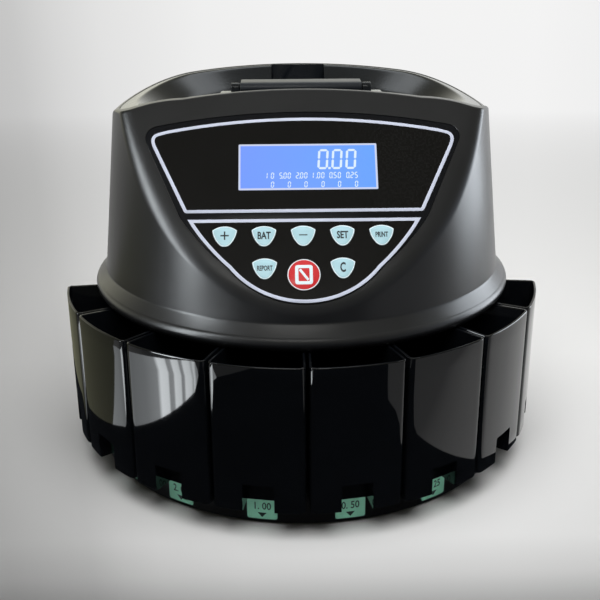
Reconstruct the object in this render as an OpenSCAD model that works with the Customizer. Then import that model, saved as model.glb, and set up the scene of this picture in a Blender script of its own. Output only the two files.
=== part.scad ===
// Table-top coin counter and sorter: eight pull-out coin cups stand in a fan
// around the front of a round body, under a sorting rotor fed from a hopper.
// Millimetres, +Z up, front towards -Y, origin under the middle of the outline.

/* [Base] */
// Radius of the base rim
base_r = 160; // [156:0.5:164]
// Height of the base from its underside to its deck
base_h = 18.4; // [17:0.2:24]
// Gap between the base and the table
base_lift = 2; // [1.8:0.1:4]
// Thickness of the base deck
deck_t = 3; // [2:0.1:4]
// Wall of the base rim
base_wall = 3; // [2:0.1:5]
// Thickness of the bottom plate
plate_t = 2.5; // [1.5:0.1:3]
// Diameter of each rubber foot
foot_d = 18; // [12:0.5:24]

/* [Coin cups] */
// Radius of the curved cup fronts
cup_r_out = 178.5; // [174:0.5:184]
// Radius of the inner ends of the cups
cup_r_in = 94; // [93:0.5:99]
// Height of a cup
cup_h = 102.9; // [99:0.5:110]
// Angle from one cup to the next
cup_pitch = 20.67; // [20.2:0.01:20.7]
// Wall of a cup
cup_wall = 1.8; // [1.2:0.1:2.2]
// Floor of a cup
cup_floor = 2; // [1.5:0.1:4]
// Gap between two cups
cup_gap = 2; // [1.6:0.1:2.4]
// Running gap under the cups, and over them
cup_play = 0.4; // [0.3:0.05:0.8]
// Width of the finger pocket at the foot of each cup
pocket_w = 21; // [18:0.5:24]
// Height of the finger pocket
pocket_h = 15.3; // [12:0.1:20]
// Depth of the finger pocket behind the cup front
pocket_d = 20; // [17:0.5:24]

/* [Value labels] */
// Width of a value label
label_w = 20.5; // [16:0.5:26]
// Height of a value label
label_h = 15; // [10:0.5:16]
// Thickness of a value label
label_t = 0.4; // [0.2:0.1:1]

/* [Rear housing] */
// Distance from the groove of the body back to the flat rear
rear_out = 3.4; // [2:0.1:5]
// Step from the groove of the body in to the rear housing
housing_step = 1.1; // [0.5:0.1:3]
// Gap between the end cups and the rear housing
housing_gap = 3; // [2:0.5:5]
// Gap between the inner ends of the cups and the column inside them
column_gap = 4; // [3:0.5:8]
// Wall of the housing
housing_wall = 2.5; // [1.8:0.1:3.5]
// Depth of the connector wall behind the flat rear
connector_in = 13.5; // [12.5:0.5:18]
// Width of the connector panel
panel_w = 94; // [90:1:98]
// Height of the connector panel
panel_h = 78; // [74:1:84]

/* [Sorting mechanism] */
// Thickness of the mechanism deck
mech_t = 3; // [2.5:0.1:4]
// Thickness of the sorting track
track_t = 3; // [2:0.1:4]
// Radius of the guide rail that the coins run along
rail_r = 132; // [131:0.5:133]
// Thickness of the guide rail
rail_t = 3.5; // [2:0.1:3.6]
// Height of the guide rail above the track
rail_h = 10; // [9:0.5:14]
// Gap between the track and the rotor arms
rotor_gap = 0.8; // [0.6:0.1:1.2]
// Height of the rotor arms
arm_h = 5; // [4:0.5:6]
// Width of a rotor arm
arm_w = 6; // [4:0.5:9]
// Number of rotor arms
arm_count = 10; // [8:1:12]
// Radius of the rotor hub
hub_r = 24; // [20:0.5:28]
// Diameter of the rotor shaft
shaft_d = 8; // [6:0.5:10]
// Diameters of the coins sorted into cups one to six
coin_d = [26, 24, 21.75, 20, 18, 16]; // [14:0.25:27]
// Width of the open windows over cups seven and eight
open_window = 28; // [26:0.5:29]

/* [Drive] */
// Distance from the rotor shaft to the motor shaft
drive_span = 62; // [58:0.5:64]
// Radius of the pulley on the rotor shaft
driven_r = 28; // [22:0.5:30]
// Radius of the pulley on the motor shaft
driver_r = 9; // [8:0.5:11]
// Diameter of the motor
motor_d = 48; // [40:1:50]
// Length of the motor body
motor_l = 44; // [40:1:50]
// Diameter of the motor shaft
motor_shaft_d = 6; // [4:0.5:7]
// Height of the pulleys
pulley_h = 10; // [8:0.5:12]

/* [Upper body] */
// Wall of the upper shell
shell_wall = 2.8; // [2.2:0.1:3.2]
// Distance from the groove out to the greatest radius of the rounded skirt
skirt_out = 8.2; // [7:0.1:10]
// Radius of the round edge of the skirt
skirt_edge = 5.5; // [5:0.1:6]
// Room between the guide rail and the groove above the skirt
wall_room = 16.1; // [15:0.1:18]
// Height of the groove above the bottom of the skirt
groove_h = 16; // [15:0.5:18]
// Inward lean of the body wall in degrees
body_draft = 6.39; // [5:0.1:7]
// Height of the hopper rim above the bottom of the skirt
rim_h = 144.2; // [140:0.2:147]
// Extra height of the crowned front lip over the rim
lip_rise = 3.5; // [3:0.1:6]
// Radius of the crown of the front lip
lip_crown_r = 590; // [500:1:700]
// Radius of the gentle crown of the rim
rim_crown_r = 1600; // [1200:50:2400]
// Radius of the shoulders at both sides of the rim
shoulder_r = 120; // [100:1:140]
// Distance of the shoulders from the middle
shoulder_x = 85; // [78:1:92]

/* [Console] */
// Tilt of the console face from the horizontal
console_tilt = 51; // [49:0.5:53]
// Height of the foot of the console above the bottom of the skirt
console_h = 27.8; // [26:0.1:30]
// Depth of the recess that holds the membrane
recess_d = 1; // [0.8:0.1:1.2]
// Thickness of the membrane
membrane_t = 0.8; // [0.5:0.1:0.8]
// Width of the plain band between the membrane and the lip
forehead = 17.3; // [15:0.1:20]
// Width of the plain band between the membrane and the sides of the console
side_band = 10.6; // [9:0.1:13]
// Distance of that waist above the foot of the console
waist_s = 61.5; // [60:0.1:63]
// Gap between the foot of the membrane and the foot of the console
foot_gap = 1.2; // [0.8:0.1:2]
// Radius of the round foot of the membrane
foot_round = 62.1; // [59:0.1:64]
// Radius of the bowed edges between the waist and the foot
bow_r = 160; // [140:5:200]
// Radius of the arched top of the membrane
arch_r = 480; // [400:10:600]
// Radius of its upper corners
corner_r = 9; // [6:0.5:12]
// Width of the display window
window_w = 91; // [86:0.5:96]
// Height of the display window
window_h = 33; // [28:0.5:36]
// Offset of the display window to the right of the middle
window_x = 3; // [0:0.5:6]
// Distance of the middle of the window above the foot of the console
window_s = 96.6; // [94:0.1:98]

/* [Keys] */
// Width of a shield-shaped key
key_w = 16.6; // [14:0.1:18]
// Height of a shield-shaped key
key_h = 14.8; // [13:0.1:16]
// Diameter of the round start and stop key
round_key_d = 21.8; // [19:0.1:23]
// Distance from one key of the upper row to the next
key_pitch = 25.15; // [24:0.05:25.6]
// Distance of the upper row above the foot of the console
row_a = 47.4; // [46:0.1:48.5]
// Distance of the lower row above the foot of the console
row_b = 25.2; // [24.5:0.1:26]
// Distance of the round key above the foot of the console
row_round = 20.9; // [19.5:0.1:22]
// Offset of the keys to the right of the middle
key_x = -1; // [-2:0.1:1]
// Distance of the two outer lower keys from the round key
key_side = 24.8; // [24:0.1:26]
// Travel of a key
key_travel = 0.5; // [0.3:0.05:0.6]

/* [Hopper] */
// Width of the lip in front of the hopper
lip_w = 4.2; // [3:0.1:8]
// Wall of the hopper bowl
bowl_wall = 2.2; // [1.6:0.1:3]
// Radius of the hopper outlet
outlet_r = 70; // [62:0.5:74]
// Radius of the bowl at its knee, where the sides flatten out towards the rim
knee_r = 100; // [94:0.2:106]
// Height of that knee above the bottom of the skirt
knee_h = 123.2; // [118:0.2:127]
// Drop from the crown of the rim to the top of the bowl's cone
cone_drop = 3; // [2:0.2:5]
// Width of the rim of the bowl
bowl_rim = 5; // [4:0.1:6]
// Width of the recess in the rear wall of the bowl
notch_w = 44.5; // [38:0.5:50]
// Depth of that recess below the rim
notch_h = 30; // [20:1:50]
// Width of the hopper flap
flap_w = 82.6; // [76:0.2:84]
// Length of the sloping part of the flap
flap_l = 58; // [40:1:66]
// Thickness of the flap
flap_t = 2.5; // [2:0.1:3.5]
// Slope of the flap in degrees
flap_slope = 24; // [15:1:30]
// Height of the flap hinge above the rim
hinge_rise = 0.4; // [0.2:0.1:1.5]
// Distance from the front edge of the hopper back to the flap hinge
hinge_in = 25.5; // [20:0.5:28]
// Radius of the flap knuckle
knuckle_r = 4.1; // [3.6:0.1:4.6]
// Diameter of the hinge rod
rod_d = 3.5; // [3:0.1:4]

/* [Fasteners] */
// Diameter of the screw shanks
screw_d = 3; // [2.5:0.1:3.5]
// Diameter of the screw heads
screw_head_d = 6; // [5:0.1:6.4]

/* [Hidden] */
$fn = 96;

// General gaps and colours
fit = 0.2;
run = 0.05;
eps = 1;
big = 400;
black = [0.07, 0.07, 0.08];
gloss = [0.04, 0.04, 0.05];
grey = [0.55, 0.56, 0.58];
mint = [0.62, 0.88, 0.78];
steel = [0.75, 0.76, 0.78];
green = [0.10, 0.35, 0.20];
cyan = [0.80, 0.92, 0.95];

// Turn of each value label from the middle of its cup
label_turn = [0, -0.8, -1.6, -0.5, 0, 2.2];

// Radii of the body and the housing, worked outwards from the guide rail
groove_r = rail_r + wall_room;
skirt_r = groove_r + skirt_out;
rear_depth = groove_r + rear_out;
connector_y = rear_depth - connector_in;
housing_r = groove_r - housing_step;
column_r = cup_r_in - column_gap;

// Heights of the stack
axis_y = (cup_r_out - rear_depth) / 2;
deck_z = base_lift + base_h;
cup_z = deck_z + cup_play;
cup_top = cup_z + cup_h;
body_z = cup_top + cup_play;
mech_top = body_z + mech_t;
track_top = mech_top + track_t;
rail_top = track_top + rail_h;

// Cups and the ribs between them
cup_count = 8;
rib_w = cup_gap / 2;
rib_h = 3;
function cup_angle(k) = (k - (cup_count + 1) / 2) * cup_pitch;

// Base bosses and feet, as [x, y] from the fan axis
base_boss_r = 4.5;
post_ring = base_r - 24;
function ring_spots(angles) = [for (a = angles) post_ring * [sin(a), -cos(a)]];
base_posts = ring_spots([-132, -58, 58, 132]);
foot_posts = ring_spots([-142, -41, 41, 142]);

// Main board, on edge in two clips, and the transformer beside it
board_t = 1.6;
board_at = [56, 22];
board_l = 86;
board_h = 78;
clip_l = 8;
clip_h = 4;
clip_t = 3;
transformer_at = [-100, 34];
core = [58, 50, 46];
coil = [40, 66, 30];

// Upper body profile, heights counted from the bottom of the skirt
skirt_c = skirt_r - skirt_edge;
skirt_ch = skirt_edge * sin(60);
skirt_in = groove_r + 0.9;
function wall_r(h) = groove_r - (h - groove_h) * tan(body_draft);
body_h = rim_h + 20;
shoulder_cx = shoulder_x * (1 - shoulder_r / rim_crown_r);
crown_a = asin(shoulder_x / rim_crown_r);
shoulder_ch = rim_h - rim_crown_r + (rim_crown_r - shoulder_r) * cos(crown_a);
lip_h = rim_h + lip_rise;
rim_out_r = wall_r(rim_h);
opening_r = rim_out_r - shell_wall - fit;

// Console plane: local X to the right, Y up the face, Z out of it
console_y = -wall_r(console_h);
console_z = body_z + console_h;
face_l = (lip_h - console_h) / sin(console_tilt);
function face_y(s) = console_y + s * cos(console_tilt);
function face_half(s) = sqrt(pow(wall_r(console_h + s * sin(console_tilt)), 2) - pow(face_y(s), 2));
membrane_top = face_l - forehead;
membrane_w = face_half(membrane_top - 21) - side_band;
waist_w = face_half(waist_s) - side_band;
recess_floor = -recess_d;
board_n = -8;
key_proud = 0.5;
key_bottom = recess_floor + key_travel + 0.1;
stem_r = 2.5;
dome_h = 1.1;
stem_bottom = board_n + dome_h + key_travel + 0.1;
lcd_gap = 0.2;
lcd_t = 7;
lcd_back = shell_wall + lcd_gap + lcd_t;
post_r = 2.2;
board_posts = [for (sx = [-1, 1]) each [
  [key_x + sx * key_pitch * 1.5, row_a],
  [key_x + sx * (key_side + 12.5), row_b]
]];
lcd_posts = [for (sx = [-1, 1], sy = [-1, 1])
  [window_x + sx * (window_w / 2 + 4), window_s + sy * (window_h / 2 + 2)]];
window_lap = 2;

// Sorting mechanism
arm_r = rail_r - 2;
arm_z = track_top + rotor_gap;
track_in = 20;
track_r = rail_r + rail_t;
deck_r = skirt_in - 0.5;
chute_w = open_window + 1;
chute_r0 = rail_r - chute_w;
bearing_r = 11;
bearing_h = 7;
housing_tube_r = 15;
housing_tube_h = 22;
flange_r = 24;
shaft_r = shaft_d / 2;
shaft_tail = 3;
hub_rise = 3;
nut_r = 9;
nut_h = 5;
pulley_z = body_z - housing_tube_h - shaft_tail - pulley_h;
pulley_lip = 2;
pulley_lip_t = 1.2;
belt_t = 1.6;
belt_gap = 0.3;
belt_side = 0.5;
motor_shaft_r = motor_shaft_d / 2;
motor_face = pulley_z - 4;
motor_boss = 6;
mount_w = 64;
mount_l = 56;
mount_t = 2;
mount_posts = [for (sx = [-1, 1], dy = [-20, 22]) [sx * 27, drive_span + dy]];
boss_radius = track_r + 4.6;
boss_r = 3.8;
boss_h = 24;
boss_rib = 3;
bore_h = 11;
boss_angles = [-150, -96, 96, 150];
function window_size(k) = k <= len(coin_d) ? coin_d[k - 1] + 0.6 : open_window;

// Rear panel and its connectors, as [x, z] of their middles
panel_z = (deck_z + body_z) / 2;
panel_t = 2;
panel_face = connector_y + panel_t;
panel_edge = 4;
panel_margin = 8;
panel_boss = 8;
inlet_at = [-22, panel_z - 16];
inlet_w = 27;
inlet_h = 19.6;
inlet_bezel = 3;
inlet_wall = 1.5;
inlet_depth = 16;
switch_at = [-22, panel_z + 16];
rocker_w = 13.2;
rocker_r = 9.1;
rocker_tilt = 9;
axle_r = 1.2;
axle_end = 1.1;
axle_back = 1;
frame_w = rocker_w + 3;
frame_h = 2 * rocker_r + 4;
frame_bezel = 2.5;
frame_depth = 18;
printer_at = [20, panel_z + 16];
port_w = 20;
port_h = 12;
plug_w = 17;
plug_h = 8.4;
plug_out = 6;
ear_w = 31;
ear_pitch = 25;
jack_at = [22, panel_z - 16];
jack_w = 14;
jack_h = 13;
jack_in_w = 10;
jack_in_h = 7.5;
jack_depth = 12;
screw_r = screw_d / 2;
head_r = screw_head_d / 2;
head_h = 1.6;

// Hopper and flap
bowl_r = opening_r - fit;
bowl_in = bowl_r - bowl_rim;
bowl_drop = 0.4;
hopper_front = -face_y(face_l) - lip_w;
hinge_y = hopper_front - hinge_in;
bowl_front = hopper_front - fit;
ledge_w = 57;
ledge_t = 2.4;
hinge_z = body_z + rim_h + hinge_rise;
ledge_top = hinge_z - knuckle_r - 0.6;
lug_gap = 2.2;
lug_t = 6;
lug_x = flap_w / 2 + lug_gap;
rod_r = rod_d / 2;
bar_back = 16;
bar_t = 4;
pad_l = 14;
pad_t = 3.2;

module at_axis() {
  translate([0, axis_y, 0]) children();
}

module at_cup(k) {
  at_axis() rotate([0, 0, cup_angle(k)]) children();
}

module on_console() {
  at_axis() translate([0, console_y, console_z]) rotate([console_tilt, 0, 0]) children();
}

// Everything behind a plane across the object
module behind(y) {
  translate([-big, -2 * big, -big]) cube([2 * big, 2 * big + y, 3 * big]);
}

// A bar along X through [y, z]
module rod_x(r, x0, x1) {
  translate([x0, 0, 0]) rotate([0, 90, 0]) cylinder(r = r, h = x1 - x0);
}

// A box centred on X and Z, from y0 back to y1
module slab(w, h, y0, y1) {
  translate([-w / 2, y0, -h / 2]) cube([w, y1 - y0, h]);
}

// A box centred on X and Y, from z0 up to z1
module flat_box(w, l, z0, z1) {
  translate([-w / 2, -l / 2, z0]) cube([w, l, z1 - z0]);
}

// Whatever follows, at each [x, y] of a list
module at_spots(spots, z) {
  for (p = spots) translate([p[0], p[1], z]) children();
}

// A screw at the origin: head below z = 0, shank upwards
module screw(length) {
  translate([0, 0, -head_h]) cylinder(r = head_r, h = head_h);
  cylinder(r = screw_r - run, h = length);
}

// ---- Base ----

module base_tray() color(black) at_axis() difference() {
  union() {
    intersection() {
      difference() {
        translate([0, 0, base_lift]) cylinder(r = base_r, h = base_h);
        translate([0, 0, base_lift - eps]) intersection() {
          cylinder(r = base_r - base_wall, h = base_h - deck_t + eps);
          behind(rear_depth - base_wall);
        }
      }
      behind(rear_depth);
    }
    at_spots(base_posts, base_lift + plate_t)
      cylinder(r = base_boss_r, h = base_h - plate_t - deck_t / 2);
    for (k = [0.5 : 1 : cup_count + 0.5]) rotate([0, 0, cup_angle(k)])
      translate([-rib_w / 2, -base_r, deck_z - deck_t / 2])
        cube([rib_w, base_r - cup_r_in - 4, rib_h + deck_t / 2]);
    for (y = [board_at[1] + clip_l, board_at[1] + board_l - clip_l])
      translate([board_at[0] - clip_t, y - clip_l / 2, deck_z - deck_t / 2])
        cube([board_t + 2 * clip_t, clip_l, clip_h + deck_t / 2]);
  }
  at_spots(base_posts, base_lift - eps) cylinder(r = screw_r, h = base_h - deck_t + eps);
  translate([board_at[0] - run, board_at[1] - eps, deck_z])
    cube([board_t + 2 * run, board_l + 2 * eps, clip_h + eps]);
}

module base_plate() color(black) at_axis() difference() {
  intersection() {
    translate([0, 0, base_lift]) cylinder(r = base_r - base_wall - fit, h = plate_t);
    behind(rear_depth - base_wall - fit);
  }
  at_spots(base_posts, 0) cylinder(r = screw_r + fit, h = big);
  at_spots(foot_posts, 0) cylinder(r = foot_d / 4 + run, h = big);
}

module rubber_feet() color(gloss) at_axis() at_spots(foot_posts, 0) {
  cylinder(d = foot_d, h = base_lift);
  cylinder(d = foot_d / 2, h = base_lift + plate_t - 0.5);
}

module base_screws() color(steel) at_axis() at_spots(base_posts, base_lift)
  screw(base_h - deck_t - 2);

// ---- Coin cups ----

// Sector of a ring between two radii with straight sides set in from the cup's edges
module cup_sector(r0, r1, inset, h) {
  half = cup_pitch / 2;
  intersection() {
    difference() {
      cylinder(r = r1, h = h);
      translate([0, 0, -eps]) cylinder(r = r0, h = h + 2 * eps);
    }
    translate([0, -inset / sin(half), 0]) linear_extrude(height = h)
      polygon([[0, 0], [-big * tan(half), -big], [big * tan(half), -big]]);
  }
}

// Finger pocket at the foot of a cup, with its walls, and reaching out of the front
module pocket_block(wall, reach) {
  w = pocket_w + 2 * wall;
  translate([-w / 2, -cup_r_out - reach, cup_z - reach])
    cube([w, pocket_d + wall + reach, pocket_h + wall + reach]);
}

module coin_cup(k) color(gloss) at_cup(k) difference() {
  union() {
    difference() {
      translate([0, 0, cup_z]) cup_sector(cup_r_in, cup_r_out, cup_gap / 2, cup_h);
      translate([0, 0, cup_z + cup_floor])
        cup_sector(cup_r_in + cup_wall, cup_r_out - cup_wall, cup_gap / 2 + cup_wall, cup_h);
    }
    intersection() {
      pocket_block(cup_wall, 0);
      translate([0, 0, cup_z]) cup_sector(cup_r_in, cup_r_out - cup_wall / 2, cup_gap / 2, cup_h);
    }
  }
  pocket_block(0, eps);
}

module value_labels() color(mint) for (k = [1 : len(coin_d)])
  at_axis() rotate([0, 0, cup_angle(k) + label_turn[k - 1]]) intersection() {
    difference() {
      cylinder(r = base_r + run + label_t, h = deck_z);
      cylinder(r = base_r + run, h = deck_z);
    }
    translate([-label_w / 2, -base_r - 5, base_lift + (base_h - label_h) / 2])
      cube([label_w, 10, label_h]);
  }

// ---- Rear housing and connectors ----

// Everything behind the two end cups, in plan
module behind_cups() {
  end = cup_angle(cup_count + 0.5);
  far = 2 * big * [sin(end), -cos(end)];
  polygon([[0, 0], far, [2 * big, 2 * big], [-2 * big, 2 * big], [-far[0], far[1]]]);
}

module housing_solid(inset) {
  translate([0, 0, deck_z]) intersection() {
    union() {
      cylinder(r = column_r - inset, h = body_z - deck_z);
      intersection() {
        cylinder(r = housing_r - inset, h = body_z - deck_z);
        translate([0, housing_gap + inset, 0]) linear_extrude(height = big) behind_cups();
      }
    }
    behind(connector_y - inset);
  }
}

module at_panel_screws(y) {
  for (sx = [-1, 1], sz = [-1, 1])
    translate([sx * (panel_w / 2 - panel_edge), y, panel_z + sz * (panel_h / 2 - panel_edge)])
      rotate([-90, 0, 0]) children();
}

module at_panel(at) {
  translate([at[0], panel_face, at[1]]) children();
}

module rear_housing() color(black) at_axis() difference() {
  housing_solid(0);
  difference() {
    housing_solid(housing_wall);
    at_panel_screws(connector_y - panel_boss) cylinder(r = screw_r + 1.6, h = panel_boss);
  }
  translate([0, 0, panel_z])
    slab(panel_w - 2 * panel_margin, panel_h - 2 * panel_margin,
      connector_y - 2 * housing_wall, connector_y + eps);
  at_panel_screws(connector_y - panel_boss + 1.5) cylinder(r = screw_r, h = panel_boss);
}

module rear_panel() color(grey) at_axis() difference() {
  translate([0, 0, panel_z]) slab(panel_w, panel_h, connector_y, panel_face);
  at_panel(inlet_at) slab(inlet_w + fit, inlet_h + fit, -big, eps);
  at_panel(switch_at) slab(frame_w + fit, frame_h + fit, -big, eps);
  at_panel(printer_at) slab(port_w + fit, port_h + fit, -big, eps);
  at_panel(jack_at) slab(jack_w + fit, jack_h + fit, -big, eps);
  at_panel_screws(connector_y - eps) cylinder(r = screw_r + fit, h = panel_t + 2 * eps);
}

module panel_screws() color(steel) at_axis() at_panel_screws(panel_face)
  mirror([0, 0, 1]) screw(panel_t + 5);

module power_inlet() color(gloss) at_axis() at_panel(inlet_at) difference() {
  union() {
    slab(inlet_w + 2 * inlet_bezel, inlet_h + 2 * inlet_bezel, 0, 2);
    slab(inlet_w, inlet_h, -inlet_depth - 4, 1);
  }
  slab(inlet_w - 2 * inlet_wall, inlet_h - 2 * inlet_wall, -inlet_depth, big);
}

module inlet_pins() color(steel) at_axis() at_panel(inlet_at)
  for (p = [[-7, -2], [0, 2], [7, -2]]) translate([p[0], 0, p[1]])
    slab(2, 4, -inlet_depth, -5);

module switch_frame() color(gloss) at_axis() at_panel(switch_at) difference() {
  union() {
    slab(frame_w + 2 * frame_bezel, frame_h + 2 * frame_bezel, 0, 1.5);
    slab(frame_w, frame_h, -frame_depth, 1);
  }
  slab(rocker_w + 0.8, 2 * rocker_r + 1, -frame_depth + 6, big);
  translate([0, -axle_back, 0])
    rod_x(axle_r + run, -rocker_w / 2 - axle_end - fit, rocker_w / 2 + axle_end + fit);
}

module switch_rocker() color(black)
  at_axis() at_panel(switch_at) translate([0, -axle_back, 0]) rotate([rocker_tilt, 0, 0]) {
    tip = rocker_r - 0.7;
    rotate([90, 0, 90]) translate([0, 0, -rocker_w / 2]) linear_extrude(height = rocker_w)
      polygon([[-4, -4], [0.6, -tip], [3.4, -tip], [2.2, 0], [3.4, tip], [0.6, tip], [-4, 4]]);
    rod_x(axle_r, -rocker_w / 2 - axle_end, rocker_w / 2 + axle_end);
  }

module printer_port() color(steel) at_axis() at_panel(printer_at) {
  difference() {
    slab(ear_w, port_h + 0.6, 0, 1);
    for (sx = [-1, 1]) translate([sx * ear_pitch / 2, -eps, 0])
      rotate([-90, 0, 0]) cylinder(r = screw_r, h = 4);
  }
  slab(plug_w, plug_h, 0, plug_out);
  slab(port_w, port_h, -11, 0.5);
}

module display_jack() color(grey) at_axis() at_panel(jack_at) difference() {
  slab(jack_w, jack_h, -jack_depth - 4, 1);
  slab(jack_in_w, jack_in_h, -jack_depth, big);
}

// ---- Sorting mechanism ----

module mechanism_deck() color(black) at_axis() difference() {
  translate([0, 0, body_z]) cylinder(r = deck_r, h = mech_t);
  translate([0, 0, body_z - eps]) cylinder(r = shaft_r + 4, h = mech_t + 2 * eps);
  for (k = [1 : cup_count]) rotate([0, 0, cup_angle(k)])
    translate([-chute_w / 2, -rail_r, body_z - eps]) cube([chute_w, chute_w, mech_t + 2 * eps]);
  for (a = boss_angles) rotate([0, 0, a])
    translate([0, -boss_radius, body_z - eps]) cylinder(r = screw_r + fit, h = mech_t + 2 * eps);
}

module coin_track() color(steel) at_axis() difference() {
  translate([0, 0, mech_top]) cylinder(r = track_r, h = track_t);
  translate([0, 0, mech_top - eps]) cylinder(r = track_in, h = track_t + 2 * eps);
  for (k = [1 : cup_count]) rotate([0, 0, cup_angle(k)])
    translate([-window_size(k) / 2, -rail_r, mech_top - eps])
      cube([window_size(k), window_size(k), track_t + 2 * eps]);
}

module guide_rail() color(steel) at_axis() translate([0, 0, track_top]) difference() {
  cylinder(r = track_r, h = rail_h);
  translate([0, 0, -eps]) cylinder(r = rail_r, h = rail_h + 2 * eps);
}

module coin_sensors() color(green) for (k = [1 : cup_count]) at_cup(k)
  translate([-5, -track_r - 6, mech_top]) cube([10, 5.5, track_t + rail_h - 1]);

module deck_screws() color(steel) at_axis() for (a = boss_angles) rotate([0, 0, a])
  translate([0, -boss_radius, body_z]) screw(mech_t + 9);

module sorting_rotor() color(grey) at_axis() difference() {
  union() {
    translate([0, 0, arm_z]) cylinder(r = hub_r, h = arm_h + hub_rise);
    for (i = [0 : arm_count - 1]) rotate([0, 0, (i + 0.5) * 360 / arm_count])
      translate([0, -arm_w / 2, arm_z]) cube([arm_r, arm_w, arm_h]);
  }
  translate([0, 0, arm_z - eps]) cylinder(r = shaft_r + run, h = arm_h + hub_rise + 2 * eps);
}

module rotor_shaft() color(steel) at_axis() translate([0, 0, pulley_z - shaft_tail])
  cylinder(r = shaft_r, h = arm_z + arm_h + hub_rise + nut_h + eps - pulley_z + shaft_tail);

module rotor_nut() color(steel) at_axis() translate([0, 0, arm_z + arm_h + hub_rise]) difference() {
  cylinder(r = nut_r, h = nut_h);
  translate([0, 0, -eps]) cylinder(r = shaft_r + run, h = nut_h + 2 * eps);
}

// A flat pulley with a lip at its foot
module pulley(r, bore) color(black) difference() {
  union() {
    cylinder(r = r, h = pulley_h);
    cylinder(r = r + pulley_lip, h = pulley_lip_t);
  }
  translate([0, 0, -eps]) cylinder(r = bore + run, h = pulley_h + 2 * eps);
}

module driven_pulley() at_axis() translate([0, 0, pulley_z]) pulley(driven_r, shaft_r);

module bearing_housing() color(grey) at_axis() translate([0, 0, body_z - housing_tube_h]) difference() {
  union() {
    cylinder(r = housing_tube_r, h = housing_tube_h);
    translate([0, 0, housing_tube_h - 4]) cylinder(r = flange_r, h = 4);
  }
  translate([0, 0, -eps]) cylinder(r = bearing_r - 2, h = housing_tube_h + 2 * eps);
  for (z = [-eps, housing_tube_h - bearing_h]) translate([0, 0, z])
    cylinder(r = bearing_r + run, h = bearing_h + eps);
}

module bearing(z) color(steel) at_axis() translate([0, 0, z]) difference() {
  cylinder(r = bearing_r, h = bearing_h);
  translate([0, 0, -eps]) cylinder(r = shaft_r + run, h = bearing_h + 2 * eps);
}

module upper_bearing() bearing(body_z - bearing_h);

module lower_bearing() bearing(body_z - housing_tube_h);

// ---- Drive ----

module drive_motor() color(steel) at_axis() translate([0, drive_span, motor_face]) difference() {
  union() {
    translate([0, 0, -motor_l]) cylinder(d = motor_d, h = motor_l);
    translate([0, 0, -motor_l - motor_boss]) cylinder(d = motor_d / 2, h = motor_boss + eps);
  }
  translate([0, 0, -motor_l + 5]) cylinder(r = motor_shaft_r + run, h = motor_l);
}

module motor_shaft() color(steel) at_axis() translate([0, drive_span, motor_face - 20])
  cylinder(r = motor_shaft_r, h = pulley_z + pulley_h + eps - motor_face + 20);

module motor_pulley() at_axis() translate([0, drive_span, pulley_z]) pulley(driver_r, motor_shaft_r);

// Filled outline of the belt, grown outwards from the pulleys
module belt_solid(grow, h) {
  lean = asin((driven_r - driver_r) / drive_span);
  a = driven_r + grow;
  b = driver_r + grow;
  cylinder(r = a, h = h);
  translate([0, drive_span, 0]) cylinder(r = b, h = h);
  linear_extrude(height = h) polygon([
    [-a * cos(lean), a * sin(lean)], [a * cos(lean), a * sin(lean)],
    [b * cos(lean), drive_span + b * sin(lean)], [-b * cos(lean), drive_span + b * sin(lean)]
  ]);
}

module drive_belt() color(gloss) at_axis() {
  h = pulley_h - pulley_lip_t - 2 * belt_side;
  translate([0, 0, pulley_z + pulley_lip_t + belt_side]) difference() {
    belt_solid(belt_gap + belt_t, h);
    translate([0, 0, -eps]) belt_solid(belt_gap, h + 2 * eps);
  }
}

module motor_mount() color(steel) at_axis() difference() {
  union() {
    translate([-mount_w / 2, drive_span - mount_l / 2, motor_face]) cube([mount_w, mount_l, mount_t]);
    at_spots(mount_posts, motor_face + mount_t / 2)
      cylinder(r = 4, h = body_z - motor_face - mount_t / 2);
  }
  translate([0, drive_span, motor_face - eps]) cylinder(r = motor_shaft_r + 3, h = mount_t + 2 * eps);
}

module transformer() color(steel) at_axis()
  translate([transformer_at[0], transformer_at[1], deck_z]) {
    cube(core);
    translate((core - coil) / 2) cube(coil);
  }

module main_board() color(green) at_axis() translate([board_at[0], board_at[1], deck_z]) {
  cube([board_t, board_l, board_h]);
  translate([board_t / 2, 14, 14]) cube([9, 24, 24]);
  translate([board_t / 2, 50, 20]) cube([5, 26, 16]);
  for (y = [18, 34]) translate([0, y, 60]) rod_x(5, board_t / 2, 14);
}

// ---- Upper body ----

// Arcs as lists of points: about a centre, and between two points as a shallow bow
function turn(c, r, a0, a1, n) =
  [for (i = [0 : n]) let (a = a0 + (a1 - a0) * i / n) c + r * [cos(a), sin(a)]];
function bow(p, q, r, n) =
  let (d = q - p, c = (p + q) / 2 + sqrt(r * r - d * d / 4) * [d[1], -d[0]] / norm(d))
  turn(c, r, atan2(p[1] - c[1], p[0] - c[0]), atan2(q[1] - c[1], q[0] - c[0]), n);
function rest(list) = [for (i = [1 : len(list) - 1]) list[i]];
function both_sides(right) =
  concat(right, [for (i = [len(right) - 2 : -1 : 1]) [-right[i][0], right[i][1]]]);

// Turned outline of the body, moved inwards for the inside
module body_turned(inside) {
  if (inside) rotate_extrude() polygon([
    [0, -eps], [skirt_in, -eps], [skirt_in, groove_h - 6],
    [wall_r(groove_h + 1) - shell_wall, groove_h + 1],
    [wall_r(body_h) - shell_wall, body_h], [0, body_h]
  ]);
  else rotate_extrude() polygon(concat(
    [[0, 0]],
    [for (a = [-60 : 11.5 : 55]) [skirt_c + skirt_edge * cos(a), skirt_ch + skirt_edge * sin(a)]],
    [[groove_r, groove_h], [wall_r(body_h), body_h], [0, body_h]]
  ));
}

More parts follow.
